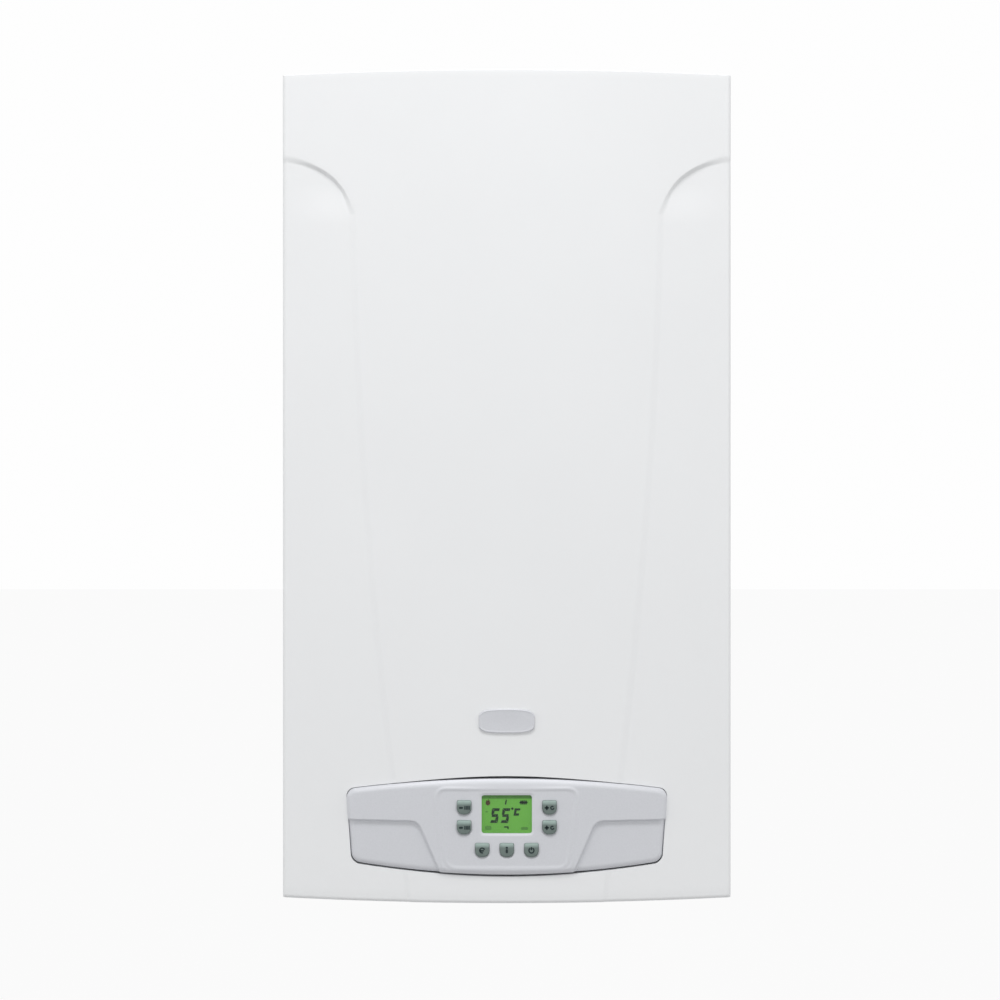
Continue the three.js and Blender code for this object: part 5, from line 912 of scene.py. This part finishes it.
def fasteners():
    """Screws of the lids, the flue collar, the cover and the plates, and the ribs of the box's lid."""
    lid_low, lid_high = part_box("air_box_lid")
    border = lid_low.y + 3 * MM
    lid = Shape()
    for u in np.linspace(lid_low.x + 9 * MM, lid_high.x - 9 * MM, 5):
        for v in (lid_low.z + 8 * MM, lid_high.z - 8 * MM):
            lid.screw("y", (float(u), v), 3.2 * MM, border, -1)
    for v in np.linspace(lid_low.z + 80 * MM, lid_high.z - 80 * MM, 4):
        for u in (lid_low.x + 9 * MM, lid_high.x - 9 * MM):
            lid.screw("y", (u, float(v)), 3.2 * MM, border, -1)
    lid.make("lid_screws", "air_box_lid", "stainless_steel")

    top = Shape()
    low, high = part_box("flue_collar")
    u0, v0 = (low.x + high.x) / 2, (low.y + high.y) / 2
    reach = (high.x - low.x) / 2 - 5.5 * MM
    for k in range(6):
        a = math.pi / 3 * k + 0.3
        top.screw("z", (u0 + reach * math.cos(a), v0 + reach * math.sin(a)), 2.6 * MM, low.z + 1.5 * MM, 1)
    low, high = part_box("air_port_cover")
    u0, v0 = (low.x + high.x) / 2, (low.y + high.y) / 2
    for k in range(4):
        a = math.pi / 2 * k + math.pi / 4
        reach = (high.x - low.x) / 2 - 4 * MM
        top.screw("z", (u0 + reach * math.cos(a), v0 + reach * math.sin(a)), 2.2 * MM, low.z + 1.2 * MM, 1)
    top.make("top_screws", "casing", "stainless_steel")

    under = Shape()
    for sign in (-1, 1):
        under.screw("z", (sign * 150 * MM, COVER_BACK - 9 * MM), 3 * MM, COVER_BOTTOM, -1)
    under.make("cover_screws", "front_cover", "stainless_steel")

    plate = Shape()
    low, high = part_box("connection_plate")
    for u in (low.x + 12 * MM, low.x + 95 * MM, high.x - 95 * MM, high.x - 12 * MM):
        plate.screw("z", (u, high.y - 14 * MM), 3.4 * MM, low.z + 8 * MM, -1)
    plate.make("plate_screws", "casing", "stainless_steel")

    box = Shape()
    low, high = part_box("control_box_lid")
    for u in (low.x + 10 * MM, 0.0, high.x - 10 * MM):
        for v in (low.z + 9 * MM, high.z - 9 * MM):
            box.screw("y", (u, v), 2.6 * MM, high.y, 1)
    box.make("box_screws", "control_box", "stainless_steel")

    ribs = Shape()
    for k in range(7):
        u = low.x + (high.x - low.x) * (k + 1.5) / 9
        start = (u - MM, high.y - 0.2 * MM, low.z + 22 * MM)
        end = (u + MM, high.y + 1.4 * MM, high.z - 22 * MM)
        ribs.box(start, end, 0.5 * MM)
    for u in (low.x + 30 * MM, high.x - 30 * MM):
        ribs.turned("y", (u, low.z + 30 * MM), [(9 * MM, high.y - MM), (9 * MM, high.y + 3 * MM),
                                              (6.5 * MM, high.y + 5 * MM), (5 * MM, high.y + 5 * MM),
                                              (4.5 * MM, high.y + 2 * MM)])
    ribs.make("box_lid_ribs", "control_box", "black_plastic")


def connection_threads():
    """Threads on the stubs under the boiler."""
    shape = Shape()
    for mount in frame["record"]["mounts"]:
        x, y, z = mount["pos_m"]
        if mount["axis"][2] > -0.5:
            continue
        wide = mount["name"].startswith(("heating", "gas"))
        radius = (13.2 if wide else 10.5) * MM  # the 3/4 and 1/2 inch threads
        shape.thread("z", (x, y), radius, z + 0.8 * MM, z + THREAD_LENGTH, THREAD_PITCH, THREAD_HEIGHT)
    shape.make("stub_threads", "casing", "brass")


def exchanger_fins():
    """The thin fins between the thick ones of the exchanger's solid."""
    low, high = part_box("heat_exchanger")
    shape = Shape()
    for k in range(FIN_COUNT):
        u = -FIN_HALF_SPAN + 2 * FIN_HALF_SPAN * (k + 0.5) / FIN_COUNT
        start = (u - FIN_SHEET / 2, low.y + 10 * MM, low.z + 1.5 * MM)
        end = (u + FIN_SHEET / 2, high.y - 10 * MM, high.z - 1.5 * MM)
        shape.box(start, end)
    shape.make("exchanger_fins", "casing", "copper")


def gauge_face():
    """The pressure gauge's printed dial, with its scale from 0 to 4, and its lens."""
    low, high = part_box("pressure_gauge")
    needle_low, needle_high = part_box("gauge_needle")
    hub = (needle_low.x + 4 * MM, (needle_low.y + needle_high.y) / 2)
    seat = needle_high.z + 0.25 * MM
    radius = (high.x - low.x) / 2 - 5.2 * MM
    dial = Shape()
    dial.turned("z", hub, [(radius, seat), (radius, seat + 0.4 * MM)], 40)
    dial.kind = 1
    for k in range(17):
        a = math.radians(DIAL_SWEEP * k / 16)
        long = 3.2 * MM if k % 4 == 0 else 1.8 * MM
        way = np.array([math.cos(a), math.sin(a)])
        side = np.array([-way[1], way[0]]) * (0.28 * MM if k % 4 == 0 else 0.16 * MM)
        start, end = hub + way * (radius - 0.8 * MM - long), hub + way * (radius - 0.8 * MM)
        dial.prism("z", [tuple(p) for p in (start - side, end - side, end + side, start + side)],
                   seat - 0.06 * MM, seat + 0.1 * MM)
    dial.kind = 2
    start, end = math.radians(203), math.radians(DIAL_SWEEP)
    red_zone = ring_mark(*hub, radius - 0.2 * MM, radius - 0.9 * MM, start, end)
    dial.prism("z", red_zone, seat - 0.05 * MM, seat + 0.1 * MM)
    dial.make("gauge_dial", "casing", "dial_white", (), ["dial_black", "red_plastic"])
    lens = Shape()
    z = low.z + 0.8 * MM
    lens.turned("z", hub, [(radius + 0.2 * MM, z), (radius + 0.2 * MM, z + 0.8 * MM)], 40)
    lens.make("gauge_lens", "casing", "clear_lens")
    for k in range(DIAL_NUMBERS):
        text = bpy.data.curves.new("dial_number", "FONT")
        text.body = str(k)
        text.size = 3.6 * MM
        text.align_x = text.align_y = "CENTER"
        text.extrude = 0.03 * MM
        number = bpy.data.objects.new("dial_number", text)
        bpy.context.scene.collection.objects.link(number)
        a = math.radians(DIAL_SWEEP * k / (DIAL_NUMBERS - 1))
        reach = radius - 6.4 * MM
        middle = (hub[0] + reach * math.cos(a), hub[1] + reach * math.sin(a), seat - 0.04 * MM)
        number.matrix_world = Matrix.Translation(middle) @ Matrix.Rotation(math.pi, 4, "X")
        bpy.context.view_layer.update()
        mesh = bpy.data.meshes.new_from_object(number)
        mesh.transform(number.matrix_world)
        bpy.data.objects.remove(number)
        digit = bpy.data.objects.new(f"dial_number_{k}", mesh)
        bpy.context.scene.collection.objects.link(digit)
        mesh.materials.clear()
        mesh.materials.append(FINISH["dial_black"])
        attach(digit, "casing")


cover_shell()
fascia_skin()
for key in KEYS:
    key_piece(key)
display_marks()
badge_plate()
fasteners()
connection_threads()
exchanger_fins()
gauge_face()

# ---------------------------------------------------------------- stage, light and camera


FLOOR_Z, FLOOR_SIZE = -1.45, 30.0
FLOOR_WHITE = 0.93  # share of white over the lit floor, so that the shadow still shows
WORLD_WHITE = 0.99
AMBIENT = 0.578


def seen_white(nodes, link):
    """1 where a camera, glossy or transmission ray looks, else 0."""
    rays = nodes.new("ShaderNodeLightPath")
    total = rays.outputs["Is Camera Ray"]
    for name in ("Is Glossy Ray", "Is Transmission Ray"):
        more = nodes.new("ShaderNodeMath")
        more.operation = "MAXIMUM"
        link(total, more.inputs[0])
        link(rays.outputs[name], more.inputs[1])
        total = more.outputs["Value"]
    return total


def stage():
    """A plain pale floor."""
    mesh = bpy.data.meshes.new("floor")
    corners = [(x * FLOOR_SIZE, y * FLOOR_SIZE, FLOOR_Z) for x, y in ((-1, -1), (1, -1), (1, 1), (-1, 1))]
    mesh.from_pydata(corners, [], [(0, 1, 2, 3)])
    floor = bpy.data.objects.new("floor", mesh)
    bpy.context.scene.collection.objects.link(floor)
    material = bpy.data.materials.new("floor")
    material.use_nodes = True
    nodes, link = material.node_tree.nodes, material.node_tree.links.new
    nodes["Principled BSDF"].inputs["Base Color"].default_value = (0.6, 0.6, 0.6, 1)
    nodes["Principled BSDF"].inputs["Roughness"].default_value = 0.9
    white = nodes.new("ShaderNodeEmission")
    white.inputs["Strength"].default_value = 1
    share = nodes.new("ShaderNodeMath")
    share.operation = "MULTIPLY"
    share.inputs[1].default_value = FLOOR_WHITE
    link(seen_white(nodes, link), share.inputs[0])
    mix = nodes.new("ShaderNodeMixShader")
    link(share.outputs["Value"], mix.inputs["Fac"])
    link(nodes["Principled BSDF"].outputs["BSDF"], mix.inputs[1])
    link(white.outputs["Emission"], mix.inputs[2])
    link(mix.outputs["Shader"], nodes["Material Output"].inputs["Surface"])
    mesh.materials.append(material)


def world():
    """Even light from all round, and a white background."""
    made = bpy.data.worlds.new("studio")
    bpy.context.scene.world = made
    made.use_nodes = True
    nodes, link = made.node_tree.nodes, made.node_tree.links.new
    ambient = nodes["Background"]
    ambient.inputs["Color"].default_value = (1, 1, 1, 1)
    ambient.inputs["Strength"].default_value = AMBIENT
    white = nodes.new("ShaderNodeBackground")
    white.inputs["Color"].default_value = (1, 1, 1, 1)
    white.inputs["Strength"].default_value = WORLD_WHITE
    mix = nodes.new("ShaderNodeMixShader")
    link(seen_white(nodes, link), mix.inputs["Fac"])
    link(ambient.outputs["Background"], mix.inputs[1])
    link(white.outputs["Background"], mix.inputs[2])
    link(mix.outputs["Shader"], nodes["World Output"].inputs["Surface"])


def lamp(name, place, target, size, watts):
    """A rectangular lamp aimed at a point."""
    data = bpy.data.lights.new(name, "AREA")
    data.shape = "RECTANGLE"
    data.size, data.size_y = size
    data.energy = watts
    light = bpy.data.objects.new(name, data)
    light.location = place
    light.rotation_mode = "QUATERNION"
    light.rotation_quaternion = (Vector(target) - Vector(place)).to_track_quat("-Z", "Y")
    light.visible_camera = False
    bpy.context.scene.collection.objects.link(light)


def camera():
    """The photograph's view: square on, 2 m in front of the cover's crown."""
    data = bpy.data.cameras.new("camera")
    data.sensor_width = 36
    data.lens = 82.3
    data.shift_x = -0.0068
    data.shift_y = -0.0134
    made = bpy.data.objects.new("camera", data)
    made.location = (0, CROWN - 2, 0)
    made.rotation_euler = (math.pi / 2, 0, 0)
    bpy.context.scene.collection.objects.link(made)
    bpy.context.scene.camera = made


stage()
world()
lamp("key", (-0.12, -1.8, 2.2), (0, -0.25, 0.1), (1.8, 0.8), 40)
lamp("fill_left", (-2.6, -1.4, 0.3), (0, -0.2, 0), (2.4, 2.4), 11)
lamp("fill_right", (2.6, -1.4, 0.3), (0, -0.2, 0), (2.4, 2.4), 12)
lamp("back", (0, 1.8, 2.2), (0, -0.1, 0.2), (1.6, 1.2), 12)
camera()
bpy.context.scene.view_settings.view_transform = "Standard"
